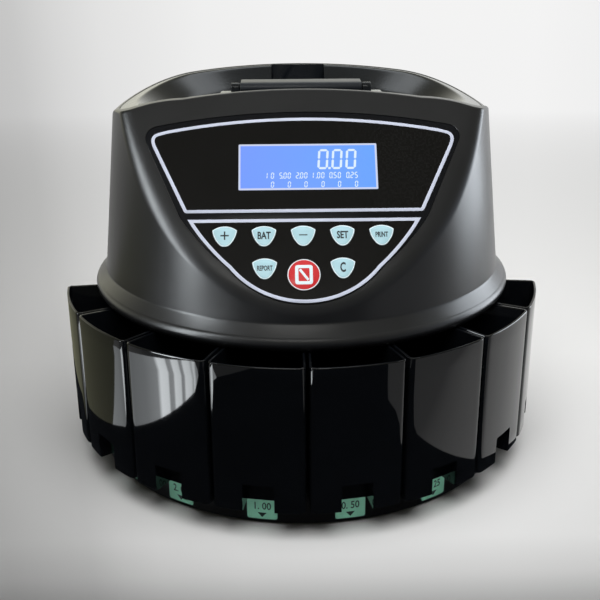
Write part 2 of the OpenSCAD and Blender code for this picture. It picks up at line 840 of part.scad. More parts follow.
// Everything under the rim and the crowned lip, lowered by drop
module under_rim(drop, lip) {
  rotate([90, 0, 0]) {
    translate([0, 0, -big]) linear_extrude(height = 2 * big) polygon(both_sides(concat(
      turn([0, rim_h - rim_crown_r], rim_crown_r - drop, 90, 90 - crown_a, 4),
      rest(turn([shoulder_cx, shoulder_ch], shoulder_r - drop, 90 - crown_a, 20, 10)),
      [[big, -eps], [0, -eps]]
    )));
    if (lip) translate([0, 0, hopper_front - 10]) linear_extrude(height = big)
      polygon(both_sides(concat(
        turn([0, lip_h - lip_crown_r], lip_crown_r - drop, 90, 72, 10),
        [[big, -eps], [0, -eps]]
      )));
  }
}

module body_solid(inside) {
  drop = inside ? shell_wall : 0;
  difference() {
    translate([0, 0, body_z]) intersection() {
      body_turned(inside);
      under_rim(drop, true);
    }
    translate([0, console_y, console_z]) rotate([console_tilt, 0, 0])
      translate([-big, -big / 2, -drop]) cube([2 * big, 2 * big, big]);
  }
}

// Membrane outline on the console, shrunk by inset
module membrane_shape(inset) {
  cx = membrane_w - corner_r;
  reach = arch_r - corner_r;
  corner = [cx, membrane_top - arch_r + sqrt(reach * reach - cx * cx)];
  lean = atan2(membrane_w - waist_w, corner[1] - waist_s);
  foot = [0, foot_gap + foot_round];
  side = turn(foot, foot_round - inset, -36, -90, 8);
  polygon(both_sides(concat(
    turn([0, membrane_top - arch_r], arch_r - inset, 90, 90 - asin(cx / reach), 8),
    rest(turn(corner, corner_r - inset, 90 - asin(cx / reach), -lean, 6)),
    bow([waist_w - inset, waist_s], side[0], bow_r, 4),
    rest(side)
  )));
}

// Key outlines: an arched top over bowed sides that run into a round foot
function shield(w, h, grow) =
  let (
    corner = [w / 2, h * 0.3],
    foot_r = w * 0.31,
    foot = [0, foot_r - h / 2],
    side_r = w,
    gap = side_r - foot_r,
    reach = norm(corner - foot),
    swing = acos((gap * gap + reach * reach - side_r * side_r) / (2 * gap * reach)),
    lean = atan2(corner[1] - foot[1], corner[0]) + swing,
    side = foot + gap * [cos(lean), sin(lean)],
    start = atan2(corner[1] - side[1], corner[0] - side[0]),
    rise = h / 2 - corner[1],
    top_r = (w * w / 4 + rise * rise) / (2 * rise),
    edge = asin(w / 2 / top_r)
  )
  both_sides(concat(
    turn([0, h / 2 - top_r], top_r + grow, 90, 90 - edge, 5),
    rest(turn(side, side_r + grow, start, lean - 180, 5)),
    rest(turn(foot, foot_r + grow, lean - 180, -90, 4))
  ));

key_spots = [
  for (i = [-2 : 2]) [key_x + i * key_pitch, row_a],
  [key_x - key_side, row_b], [key_x, row_round], [key_x + key_side, row_b]
];
round_key = 6;

module key_outline(i, grow) {
  translate(key_spots[i]) if (i == round_key) circle(d = round_key_d + 2 * grow);
  else polygon(shield(key_w, key_h, grow));
}

module upper_shell() color(black) difference() {
  union() {
    at_axis() difference() {
      intersection() {
        body_solid(false);
        behind(rear_depth);
      }
      body_solid(true);
    }
    at_axis() intersection() {
      for (a = boss_angles) rotate([0, 0, a]) translate([0, -boss_radius, mech_top]) {
        cylinder(r = boss_r, h = boss_h);
        translate([-boss_rib / 2, -2 * boss_rib, 0]) cube([boss_rib, 2 * boss_rib, boss_h]);
      }
      body_solid(false);
    }
    on_console() {
      at_spots(board_posts, board_n) cylinder(r = post_r, h = -board_n - shell_wall / 2);
      at_spots(lcd_posts, -lcd_back) cylinder(r = post_r, h = lcd_back - shell_wall / 2);
    }
  }
  at_axis() translate([0, 0, body_z + rim_h - 40]) intersection() {
    cylinder(r = opening_r, h = big);
    translate([-big, -hopper_front, 0]) cube([2 * big, 2 * big, big]);
  }
  at_axis() for (a = boss_angles) rotate([0, 0, a])
    translate([0, -boss_radius, mech_top - eps]) cylinder(r = screw_r, h = bore_h);
  on_console() {
    translate([0, 0, recess_floor]) linear_extrude(height = 10) membrane_shape(0);
    at_spots(key_spots, -10) cylinder(r = stem_r + 0.4, h = 10);
    translate([window_x, window_s, 0])
      flat_box(window_w - 2 * window_lap, window_h - 2 * window_lap, -10, 0);
  }
}

module console_membrane() color(gloss) on_console() translate([0, 0, recess_floor])
  linear_extrude(height = membrane_t) difference() {
    membrane_shape(fit);
    for (i = [0 : len(key_spots) - 1]) key_outline(i, 0.3);
    translate([window_x, window_s]) square([window_w + fit, window_h + fit], center = true);
  }

module lcd_window() color([0.15, 0.3, 0.9]) on_console() translate([window_x, window_s, 0])
  flat_box(window_w, window_h, recess_floor, recess_floor + membrane_t);

module lcd_module() color(green) on_console() translate([window_x, window_s, -lcd_back]) {
  flat_box(window_w + 2, window_h - 1, 0, lcd_t);
  flat_box(window_w + 14, window_h + 9, -board_t, 0);
}

module keypad_board() color(green) on_console() translate([key_x, 0, board_n - board_t]) {
  translate([-key_pitch * 2.5, row_a - 10, 0]) cube([key_pitch * 5, 20, board_t]);
  translate([-key_side - 16, row_round - 7, 0]) cube([2 * key_side + 32, row_a - row_round, board_t]);
  translate([-key_x, 0, 0]) at_spots(key_spots, 0) cylinder(r = 3.4, h = board_t + dome_h);
}

module key(i, tint) color(tint) on_console() {
  translate([0, 0, key_bottom]) linear_extrude(height = key_proud - key_bottom) key_outline(i, 0);
  translate([key_spots[i][0], key_spots[i][1], stem_bottom])
    cylinder(r = stem_r, h = key_bottom - stem_bottom + 0.2);
}

// ---- Hopper ----

// Turned outline of the bowl, grown outwards by the wall and downwards by reach
module bowl_turned(wall, reach) {
  foot = rail_top - body_z - reach;
  rotate_extrude() polygon([
    [0, foot], [outlet_r + wall, foot], [outlet_r + wall, rail_top - body_z + 8],
    [knee_r + wall, knee_h - wall / 2], [bowl_in + wall, rim_h - cone_drop - wall / 2],
    [bowl_in + wall, body_h], [0, body_h]
  ]);
}

// The bowl's outside with its wall, or its inside with none
module bowl_solid(wall, reach) {
  intersection() {
    translate([0, 0, body_z]) bowl_turned(wall, reach);
    translate([-big, -bowl_front + bowl_wall - wall, 0]) cube([2 * big, 2 * big, 2 * big]);
  }
}

// The shelf behind the lip, with a lug and a pad at each end of the flap
module hinge_ledge() {
  translate([-ledge_w, -bowl_front, ledge_top - ledge_t])
    cube([2 * ledge_w, bowl_front - hinge_y + pad_l / 2, ledge_t]);
  for (sx = [-1, 1]) {
    translate([sx > 0 ? lug_x : -lug_x - lug_t, -hinge_y, 0]) {
      translate([0, 0, hinge_z]) rod_x(knuckle_r, 0, lug_t);
      translate([0, -knuckle_r, ledge_top - 1]) cube([lug_t, 2 * knuckle_r, hinge_z - ledge_top + 1]);
    }
    translate([sx > 0 ? lug_x - 1 : -ledge_w, -hinge_y - pad_l / 2 - 1, ledge_top - 1])
      cube([ledge_w - lug_x + 1, pad_l, pad_t]);
  }
}

// Outside of the bowl, with its rim band and the housing of the notch
module bowl_outside() {
  intersection() {
    union() {
      bowl_solid(bowl_wall, 0);
      difference() {
        translate([-big, -bowl_front, body_z]) cube([2 * big, 2 * big, big]);
        translate([0, 0, body_z]) under_rim(bowl_drop + 3, false);
      }
      translate([-notch_w / 2 - 2, 0, body_z + rim_h - notch_h - 2]) cube([notch_w + 4, big, big]);
    }
    cylinder(r = bowl_r, h = big);
    translate([0, 0, body_z]) under_rim(bowl_drop, false);
  }
  translate([0, 0, rail_top]) cylinder(r = track_r, h = 2);
}

module hopper_bowl() color(gloss) at_axis() difference() {
  union() {
    difference() {
      bowl_outside();
      bowl_solid(0, eps);
    }
    hinge_ledge();
  }
  translate([-notch_w / 2, 0, body_z + rim_h - notch_h]) cube([notch_w, bowl_in + 2, big]);
  translate([0, -hinge_y, hinge_z]) rod_x(rod_r + run, -big, big);
}

module hopper_flap() color(black) at_axis() translate([0, -hinge_y, hinge_z]) difference() {
  union() {
    rod_x(knuckle_r, -flap_w / 2, flap_w / 2);
    translate([-flap_w / 2, 0, knuckle_r - bar_t]) cube([flap_w, bar_back, bar_t]);
    translate([-flap_w / 2, bar_back, knuckle_r]) rotate([-flap_slope, 0, 0])
      translate([0, -1.5, -flap_t]) cube([flap_w, flap_l + 1.5, flap_t]);
  }
  rod_x(rod_r + run, -big, big);
}

module hinge_rod() color(steel) at_axis() translate([0, -hinge_y, hinge_z])
  rod_x(rod_r, -lug_x - lug_t, lug_x + lug_t);

base_tray();
base_plate();
rubber_feet();
base_screws();
coin_cup(1);  // coin_cup_1
coin_cup(2);  // coin_cup_2
coin_cup(3);  // coin_cup_3
coin_cup(4);  // coin_cup_4
coin_cup(5);  // coin_cup_5
coin_cup(6);  // coin_cup_6
coin_cup(7);  // coin_cup_7
coin_cup(8);  // coin_cup_8
value_labels();
rear_housing();
rear_panel();
panel_screws();
power_inlet();
inlet_pins();
switch_frame();
switch_rocker();
printer_port();
display_jack();
mechanism_deck();
coin_track();
guide_rail();
coin_sensors();
deck_screws();
sorting_rotor();
rotor_shaft();
rotor_nut();
driven_pulley();
bearing_housing();
upper_bearing();
lower_bearing();
drive_motor();
motor_shaft();
motor_pulley();
drive_belt();
motor_mount();
transformer();
main_board();
upper_shell();
console_membrane();
lcd_window();
lcd_module();
keypad_board();
key(0, cyan);  // key_plus
key(1, cyan);  // key_bat
key(2, cyan);  // key_minus
key(3, cyan);  // key_set
key(4, cyan);  // key_print
key(5, cyan);  // key_report
key(6, [0.85, 0.1, 0.12]);  // key_start_stop
key(7, cyan);  // key_clear
hopper_bowl();
hopper_flap();
hinge_rod();
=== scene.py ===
"""Looks of the coin sorting machine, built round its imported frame."""

import logging
import math
from collections.abc import Callable, Iterable, Sequence
from dataclasses import dataclass, field
from enum import Enum
from typing import TypeVar

import bmesh
import bpy
import numpy as np
from mathutils import Matrix, Vector


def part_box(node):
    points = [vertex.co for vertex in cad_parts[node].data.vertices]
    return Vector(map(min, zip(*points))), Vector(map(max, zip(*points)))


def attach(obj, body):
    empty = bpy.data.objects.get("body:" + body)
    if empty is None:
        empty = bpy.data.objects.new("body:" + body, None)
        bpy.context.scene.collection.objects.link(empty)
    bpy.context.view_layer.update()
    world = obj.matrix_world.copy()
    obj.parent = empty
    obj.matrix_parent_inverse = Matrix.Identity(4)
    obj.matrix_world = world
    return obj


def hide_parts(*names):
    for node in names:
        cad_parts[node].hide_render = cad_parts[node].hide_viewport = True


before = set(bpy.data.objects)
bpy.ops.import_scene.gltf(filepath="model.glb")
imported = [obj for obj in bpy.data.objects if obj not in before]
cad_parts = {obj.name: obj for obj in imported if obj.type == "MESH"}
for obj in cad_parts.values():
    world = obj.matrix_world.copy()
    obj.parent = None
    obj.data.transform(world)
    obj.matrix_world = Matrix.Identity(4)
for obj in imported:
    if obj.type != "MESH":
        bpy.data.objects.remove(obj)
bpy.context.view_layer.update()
LOG = logging.getLogger("coin_sorter")

Array = np.ndarray
Piece = bpy.types.Object
Point = tuple[float, float]
Colour = tuple[float, float, float]
Placing = Callable[[Array], Array]
Reach = tuple[Array | float, Array | float]
Bent = TypeVar("Bent", float, Array, Vector)

# Cosine under which a column turns away from a plane, and the distance that it then gets.
GRAZING = 0.05
FAR_OFF = 1e4


# ---- Sizes that the pieces share ----


@dataclass(frozen=True)
class Stack:
    """Heights and radii in millimetres, round the upright axis of the cup fan."""

    axis_y: float
    deck_z: float
    cup_z: float
    cup_top: float
    body_z: float
    rail_top: float
    cup_r: float
    cup_pitch: float = 20.67
    groove_r: float = 148.1
    groove_h: float = 16.0
    draft: float = 6.39
    rear_y: float = 151.5
    console_h: float = 27.8
    console_tilt: float = 51.0
    rim_h: float = 144.2
    rim_crown_r: float = 1600.0
    shoulder_r: float = 120.0
    shoulder_x: float = 85.0
    lip_h: float = 147.7
    lip_crown_r: float = 590.0
    lip_w: float = 4.2
    hinge_in: float = 25.5

    @classmethod
    def measured(cls) -> "Stack":
        """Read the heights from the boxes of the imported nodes.

        Returns:
            The shared sizes, in millimetres.
        """
        shaft_low, shaft_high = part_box("rotor_shaft")
        cup_low, cup_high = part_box("coin_cup_1")
        return cls(
            axis_y=500 * (shaft_low.y + shaft_high.y),
            deck_z=1000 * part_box("base_tray")[1].z - 3,
            cup_z=1000 * cup_low.z,
            cup_top=1000 * cup_high.z,
            body_z=1000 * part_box("upper_shell")[0].z,
            rail_top=1000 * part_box("guide_rail")[1].z,
            cup_r=178.5,
        )

    def wall_r(self, h: Array | float) -> Array | float:
        """Radius of the tapering wall at a height above the skirt's foot."""
        return self.groove_r - (h - self.groove_h) * math.tan(math.radians(self.draft))

    @property
    def console_y(self) -> float:
        """Where the console starts, counted from the fan axis."""
        return -float(self.wall_r(self.console_h))

    @property
    def console_z(self) -> float:
        """Height at which the console starts."""
        return self.body_z + self.console_h

    @property
    def hopper_front(self) -> float:
        """Distance from the fan axis to the back of the lip."""
        run = (self.lip_h - self.console_h) / math.tan(math.radians(self.console_tilt))
        return -self.console_y - run - self.lip_w

    @property
    def hinge_y(self) -> float:
        """Distance from the fan axis to the flap's hinge."""
        return self.hopper_front - self.hinge_in

    def cup_angle(self, k: int) -> float:
        """Angle of cup k, in degrees from the front."""
        return (k - 4.5) * self.cup_pitch

    def rim_top(self, x: Array) -> Array:
        """Height of the rim over the skirt's foot, by its place across."""
        x = np.abs(x)
        centre_x = self.shoulder_x * (1 - self.shoulder_r / self.rim_crown_r)
        edge = math.asin(self.shoulder_x / self.rim_crown_r)
        centre_h = self.rim_h - self.rim_crown_r + (self.rim_crown_r - self.shoulder_r) * math.cos(edge)
        crown = self.rim_h - self.rim_crown_r + np.sqrt(self.rim_crown_r**2 - x**2)
        out = np.clip(x - centre_x, 0, self.shoulder_r - 1)
        return np.where(x < self.shoulder_x, crown, centre_h + np.sqrt(self.shoulder_r**2 - out**2))

    def on_console(self, points: Array) -> Array:
        """Place points given as across, up the console and out of it."""
        tilt = math.radians(self.console_tilt)
        x, s, n = points.T
        y = self.console_y + s * math.cos(tilt) - n * math.sin(tilt)
        return np.stack([x, y, self.console_z + s * math.sin(tilt) + n * math.cos(tilt)], axis=1)

    def on_ring(self, angle: float, radius: float, z: float) -> Placing:
        """Bend points given as across, up and out round a ring about the fan axis.

        Args:
            angle: middle of the patch, in degrees from the front.
            radius: radius of the ring.
            z: height of the patch's middle.

        Returns:
            The placing.
        """

        def place(points: Array) -> Array:
            """Bend the points."""
            x, up, out = points.T
            turned = math.radians(angle) + x / radius
            far = radius + out
            return np.stack([far * np.sin(turned), -far * np.cos(turned), z + up], axis=1)

        return place


def soft_min(a: Array, b: Array, blend: Array | float) -> Array:
    """Return the smaller value, with the change from one to the other rounded off."""
    near = np.clip(blend - np.abs(a - b), 0, None) / blend
    return np.minimum(a, b) - near * near * blend / 4


def smooth_step(x: Array | float) -> Array | float:
    """Ease from 0 to 1 as x goes from 0 to 1."""
    t = np.clip(x, 0, 1)
    return t * t * (3 - 2 * t)


def bend(start: Bent, tip: Bent, stop: Bent, t: float) -> Bent:
    """Place at t on the rounding that leaves start towards tip and ends at stop."""
    return start * (1 - t) ** 2 + tip * 2 * t * (1 - t) + stop * t * t


def plane_r(turn: Array, away: Array | float, side: int = 1) -> Array:
    """Distance from the axis to an upright plane, on each column.

    Args:
        turn: angles of the columns.
        away: how far the plane stands from the axis.
        side: 1 for a plane in front of the axis, -1 for one behind it.

    Returns:
        The distances, with a long one on the columns that turn away from the plane.
    """
    facing = side * np.cos(turn)
    return np.where(facing > GRAZING, away / np.maximum(facing, GRAZING), FAR_OFF)


def revolved(turn: Array, radii: Array | float, heights: Array, foot: float) -> Array:
    """Places of a skin's corners from their radii and their heights above a foot."""
    return np.stack([radii * np.sin(turn), -radii * np.cos(turn), heights + foot], axis=-1)


def upright(points: Array) -> Array:
    """Stand a flat outline up across the machine."""
    return np.stack([points[:, 0], points[:, 2], points[:, 1]], axis=1)


# ---- Flat outlines ----


def arc(centre: Point, radius: float, start: float, stop: float, count: int) -> list[Point]:
    """Points on an arc, ends included, with angles in degrees."""
    turns = [math.radians(start + (stop - start) * i / count) for i in range(count + 1)]
    return [(centre[0] + radius * math.cos(a), centre[1] + radius * math.sin(a)) for a in turns]


def mirrored(right: Sequence[Point]) -> list[Point]:
    """Close an outline's right half, which runs from its top to its foot, with its left half."""
    return list(right) + [(-x, y) for x, y in reversed(right[1:-1])]


def rounded(corners: Sequence[tuple[float, float, float]], steps: int = 6) -> list[Point]:
    """Round the corners of an outline.

    Args:
        corners: each corner's place and the length that its rounding takes from each side.
        steps: pieces in each rounding.

    Returns:
        The rounded outline.
    """
    out: list[Point] = []
    count = len(corners)
    for i, (x, y, reach) in enumerate(corners):
        here = Vector((x, y))
        if reach <= 0:
            out.append((x, y))
            continue
        before = Vector(corners[i - 1][:2]) - here
        after = Vector(corners[(i + 1) % count][:2]) - here
        a = here + before.normalized() * min(reach, before.length / 2)
        b = here + after.normalized() * min(reach, after.length / 2)
        for j in range(steps + 1):
            t = j / steps
            p = bend(a, here, b, t)
            out.append((p.x, p.y))
    return out


def box_corners(middle: Point, half_w: float, half_h: float) -> list[Point]:
    """Corners of a rectangle about its middle."""
    x, y = middle
    return [(x + a * half_w, y + b * half_h) for a, b in ((-1, -1), (1, -1), (1, 1), (-1, 1))]


def rounded_box(middle: Point, half_w: float, half_h: float, reach: float, steps: int) -> list[Point]:
    """Outline of a rectangle about its middle, with rounded corners."""
    return rounded([(x, y, reach) for x, y in box_corners(middle, half_w, half_h)], steps)


def grown(outline: Sequence[Point], by: float) -> list[Point]:
    """Move an outline outwards along its own normals, or inwards for a negative amount.

    Args:
        outline: the outline's points.
        by: how far to move it outwards, or inwards where negative.

    Returns:
        The moved outline.
    """
    pts = np.array(outline, float)
    before, after = pts - np.roll(pts, 1, 0), np.roll(pts, -1, 0) - pts
    x, y = pts.T
    area = 0.5 * float(np.sum(x * np.roll(y, -1) - np.roll(x, -1) * y))
    side = 1.0 if area > 0 else -1.0

    def normal(edge: Array) -> Array:
        """Unit normals of the edges, pointing outwards."""
        length = np.maximum(np.linalg.norm(edge, axis=1, keepdims=True), 1e-9)
        return side * np.stack([edge[:, 1], -edge[:, 0]], 1) / length

    n0, n1 = normal(before), normal(after)
    middle = n0 + n1
    middle /= np.maximum(np.linalg.norm(middle, axis=1, keepdims=True), 1e-9)
    stretch = np.clip(np.sum(middle * n1, axis=1, keepdims=True), 0.35, 1)
    return [tuple(p) for p in pts + middle * by / stretch]


# ---- Forms ----


class Form:
    """Corners and faces of one mesh, in millimetres from the fan axis and the table."""

    def __init__(self) -> None:
        """Start with nothing."""
        self.corners: list[Array] = []
        self.faces: list[tuple[int, ...]] = []
        self.count = 0

    def add(self, corners: Array, faces: Iterable[Sequence[int]]) -> "Form":
        """Append a mesh given as corners and faces."""
        start = self.count
        self.corners.append(np.asarray(corners, float))
        self.faces.extend(tuple(int(i) + start for i in face) for face in faces)
        self.count += len(corners)
        return self

    def skin(self, rows: Array, ring: bool = False, caps: bool = False) -> "Form":
        """Join closed rows of corners with faces.

        Args:
            rows: rows of corners, each row a closed loop, as an array of rows, corners and places.
            ring: whether the last row joins the first.
            caps: whether the first and last rows are closed with a face.

        Returns:
            The form itself.
        """
        n, m, _ = rows.shape
        grid = np.arange(n * m).reshape(n, m)
        lower = grid if ring else grid[:-1]
        upper = np.roll(grid, -1, 0) if ring else grid[1:]
        faces = np.stack([lower, np.roll(lower, -1, 1), np.roll(upper, -1, 1), upper], axis=-1)
        made = faces.reshape(-1, 4).tolist()
        if caps:
            made += [grid[0][::-1].tolist(), grid[-1].tolist()]
        return self.add(rows.reshape(-1, 3), made)

    def plate(
        self, outlines: Sequence[Sequence[Point]], low: float, high: float, edge: float, place: Placing,
        seam: float = 0,
    ) -> "Form":
        """Add a flat plate with holes and rounded edges.

        Args:
            outlines: the plate's outline and those of its holes.
            low: height of its underside before it is placed.
            high: height of its top side before it is placed.
            edge: size of the rounding on its edges.
            place: where the flat plate goes.
            seam: longest side of a face, or 0 where the plate stays flat.

        Returns:
            The form itself.
        """
        curve = bpy.data.curves.new("plate", "CURVE")
        curve.dimensions, curve.fill_mode = "2D", "BOTH"
        curve.extrude, curve.bevel_depth, curve.offset = (high - low) / 2 - edge, edge, -edge
        curve.bevel_resolution = 1
        for outline in outlines:
            spline = curve.splines.new("POLY")
            spline.points.add(len(outline) - 1)
            spline.points.foreach_set("co", [v for x, y in outline for v in (x, y, 0, 1)])
            spline.use_cyclic_u = True
        return self._from_curve(curve, (low + high) / 2, place, seam)

    def words(
        self, text: str, size: float, at: Point, thick: float, low: float, place: Placing, stretch: float = 1,
        bold: float = 0.012,
    ) -> "Form":
        """Add raised lettering, centred on a place.

        Args:
            text: the lettering.
            size: height of the letters' body.
            at: middle of the lettering.
            thick: how far the letters stand up.
            low: height of their underside before they are placed.
            place: where the flat lettering goes.
            stretch: width of the letters over their usual width.
            bold: how much the strokes grow to each side, over the letters' size.

        Returns:
            The form itself.
        """
        curve = bpy.data.curves.new("words", "FONT")
        curve.body, curve.size, curve.extrude = text, size, thick / 2
        curve.align_x, curve.align_y = "CENTER", "CENTER"
        curve.resolution_u = 3
        curve.offset = bold * size

        def placed(points: Array) -> Array:
            """Set the lettering on its spot."""
            return place(points * [stretch, 1, 1] + [at[0], at[1], 0])

        return self._from_curve(curve, low + thick / 2, placed, 0)

    def _from_curve(self, curve: bpy.types.Curve, lift: float, place: Placing, seam: float) -> "Form":
        """Turn a curve into a mesh and add it, lifted and placed.

        Args:
            curve: the curve, which is dropped afterwards.
            lift: how far the mesh is lifted before it is placed.
            place: where the mesh goes.
            seam: longest side of a face, or 0 for any length.

        Returns:
            The form itself.
        """
        holder = linked("holder", curve)
        mesh = baked(holder)
        bm = bmesh.new()
        bm.from_mesh(mesh)
        bmesh.ops.remove_doubles(bm, verts=bm.verts, dist=1e-4)
        if seam:
            bmesh.ops.triangulate(bm, faces=bm.faces)
            for _ in range(4):
                long = [e for e in bm.edges if abs(e.verts[0].co.x - e.verts[1].co.x) > seam]
                if not long:
                    break
                bmesh.ops.subdivide_edges(bm, edges=long, cuts=1)
                bmesh.ops.triangulate(bm, faces=bm.faces)
        bm.verts.ensure_lookup_table()
        corners = np.array([v.co[:] for v in bm.verts]) + [0, 0, lift]
        faces = [[v.index for v in f.verts] for f in bm.faces]
        bm.free()
        bpy.data.objects.remove(holder)
        bpy.data.curves.remove(curve)
        bpy.data.meshes.remove(mesh)
        return self.add(place(corners), faces)

    def turned(self, profile: Sequence[Point], place: Placing, count: int = 48, ring: bool = False) -> "Form":
        """Add a turned shape.

        Args:
            profile: radius and height of each row.
            place: where the shape goes, with its axis upright before that.
            count: corners round the axis.
            ring: whether the last row joins the first, as on a washer.

        Returns:
            The form itself.
        """
        turns = np.linspace(0, 2 * math.pi, count, endpoint=False)
        rows = np.array([[(r * math.cos(a), r * math.sin(a), h) for a in turns] for r, h in profile])
        shape = rows.shape
        return self.skin(place(rows.reshape(-1, 3)).reshape(shape), ring=ring, caps=not ring)

    def build(self, name: str, smooth: float = 35, axis_y: float | None = None) -> Piece:
        """Make the object, in metres in the shared frame.

        Args:
            name: the object's name.
            smooth: edges that bend by more than this many degrees stay sharp.
            axis_y: how far the fan axis stands behind the frame's middle, if not the usual.

        Returns:
            The object.
        """
        shift = STACK.axis_y if axis_y is None else axis_y
        corners = (np.concatenate(self.corners) + [0, shift, 0]) / 1000
        mesh = bpy.data.meshes.new(name)
        mesh.from_pydata(corners.tolist(), [], self.faces)
        tidy(mesh, smooth)
        return linked(name, mesh)


def linked(name: str, data: bpy.types.ID) -> Piece:
    """Put a new object in the scene."""
    made = bpy.data.objects.new(name, data)
    bpy.context.scene.collection.objects.link(made)
    return made


def baked(piece: Piece) -> bpy.types.Mesh:
    """Return a new mesh of an object as its curve or its modifiers shape it."""
    bpy.context.view_layer.update()
    return bpy.data.meshes.new_from_object(piece.evaluated_get(bpy.context.evaluated_depsgraph_get()))


def tidy(mesh: bpy.types.Mesh, smooth: float) -> None:
    """Point a closed mesh's faces outwards and shade it smooth between sharp edges."""
    bm = bmesh.new()
    bm.from_mesh(mesh)
    bmesh.ops.recalc_face_normals(bm, faces=bm.faces)
    bm.to_mesh(mesh)
    bm.free()
    mesh.shade_smooth()
    mesh.set_sharp_from_angle(angle=math.radians(smooth))


def applied(piece: Piece) -> Piece:
    """Turn a piece's modifiers into plain mesh."""
    old, new = piece.data, baked(piece)
    piece.modifiers.clear()
    new.name = old.name
    piece.data = new
    bpy.data.meshes.remove(old)
    return piece


class Cut(Enum):
    """How one form is taken with another."""

    AWAY = "DIFFERENCE"
    JOIN = "UNION"


def carved(
    piece: Piece, tools: Sequence[Piece], how: Cut = Cut.AWAY, smooth: float = 35
) -> Piece:
    """Cut other forms out of a piece, or join them to it, and drop them."""
    for tool in tools:
        step = piece.modifiers.new("cut", "BOOLEAN")
        step.solver, step.operation, step.object = "MANIFOLD", how.value, tool
        applied(piece)
        bpy.data.objects.remove(tool)
    tidy(piece.data, smooth)
    return piece


def softened(piece: Piece, width: float, segments: int = 2, angle: float = 40) -> Piece:
    """Round a piece's sharp edges by a width in millimetres."""
    step = piece.modifiers.new("edge", "BEVEL")
    step.width, step.segments = width / 1000, segments
    step.limit_method, step.angle_limit = "ANGLE", math.radians(angle)
    step.harden_normals = False
    step.use_clamp_overlap = True
    applied(piece)
    tidy(piece.data, 30)
    return piece


def copied(node: str, name: str, round_by: float = 0.4, angle: float = 40) -> Piece:
    """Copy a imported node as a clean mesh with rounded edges.

    Args:
        node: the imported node.
        name: the new piece's name.
        round_by: width of the rounding, in millimetres.
        angle: edges that bend by more than this many degrees are rounded.

    Returns:
        The new piece.
    """
    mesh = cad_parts[node].data.copy()
    bm = bmesh.new()
    bm.from_mesh(mesh)
    bmesh.ops.remove_doubles(bm, verts=bm.verts, dist=2e-6)
    bmesh.ops.dissolve_limit(bm, angle_limit=math.radians(2), verts=bm.verts, edges=bm.edges)
    bmesh.ops.recalc_face_normals(bm, faces=bm.faces)
    bm.to_mesh(mesh)
    bm.free()
    mesh.materials.clear()
    mesh.name = name
    return softened(linked(name, mesh), round_by, angle=angle)


# ---- Materials ----


def arithmetic(operation: str, swapped: bool = False) -> Callable[["Sock", "Sock | float"], "Sock"]:
    """Return an operator of Sock that adds a Math node.

    Args:
        operation: what the node does.
        swapped: whether the other value comes first.

    Returns:
        The operator.
    """

    def operator(value: "Sock", other: "Sock | float") -> "Sock":
        """Add the node."""
        return value.bench.maths(operation, *((other, value) if swapped else (value, other)))

    return operator


class Sock:
    """A value in a node tree that takes part in arithmetic."""

    def __init__(self, bench: "Bench", link: bpy.types.NodeSocket) -> None:
        """Wrap a node's output."""
        self.bench, self.link = bench, link

    __add__, __radd__ = arithmetic("ADD"), arithmetic("ADD", True)
    __sub__, __rsub__ = arithmetic("SUBTRACT"), arithmetic("SUBTRACT", True)
    __mul__, __rmul__ = arithmetic("MULTIPLY"), arithmetic("MULTIPLY", True)
    __truediv__, __pow__ = arithmetic("DIVIDE"), arithmetic("POWER")


Value = Sock | float | int | Sequence[float]


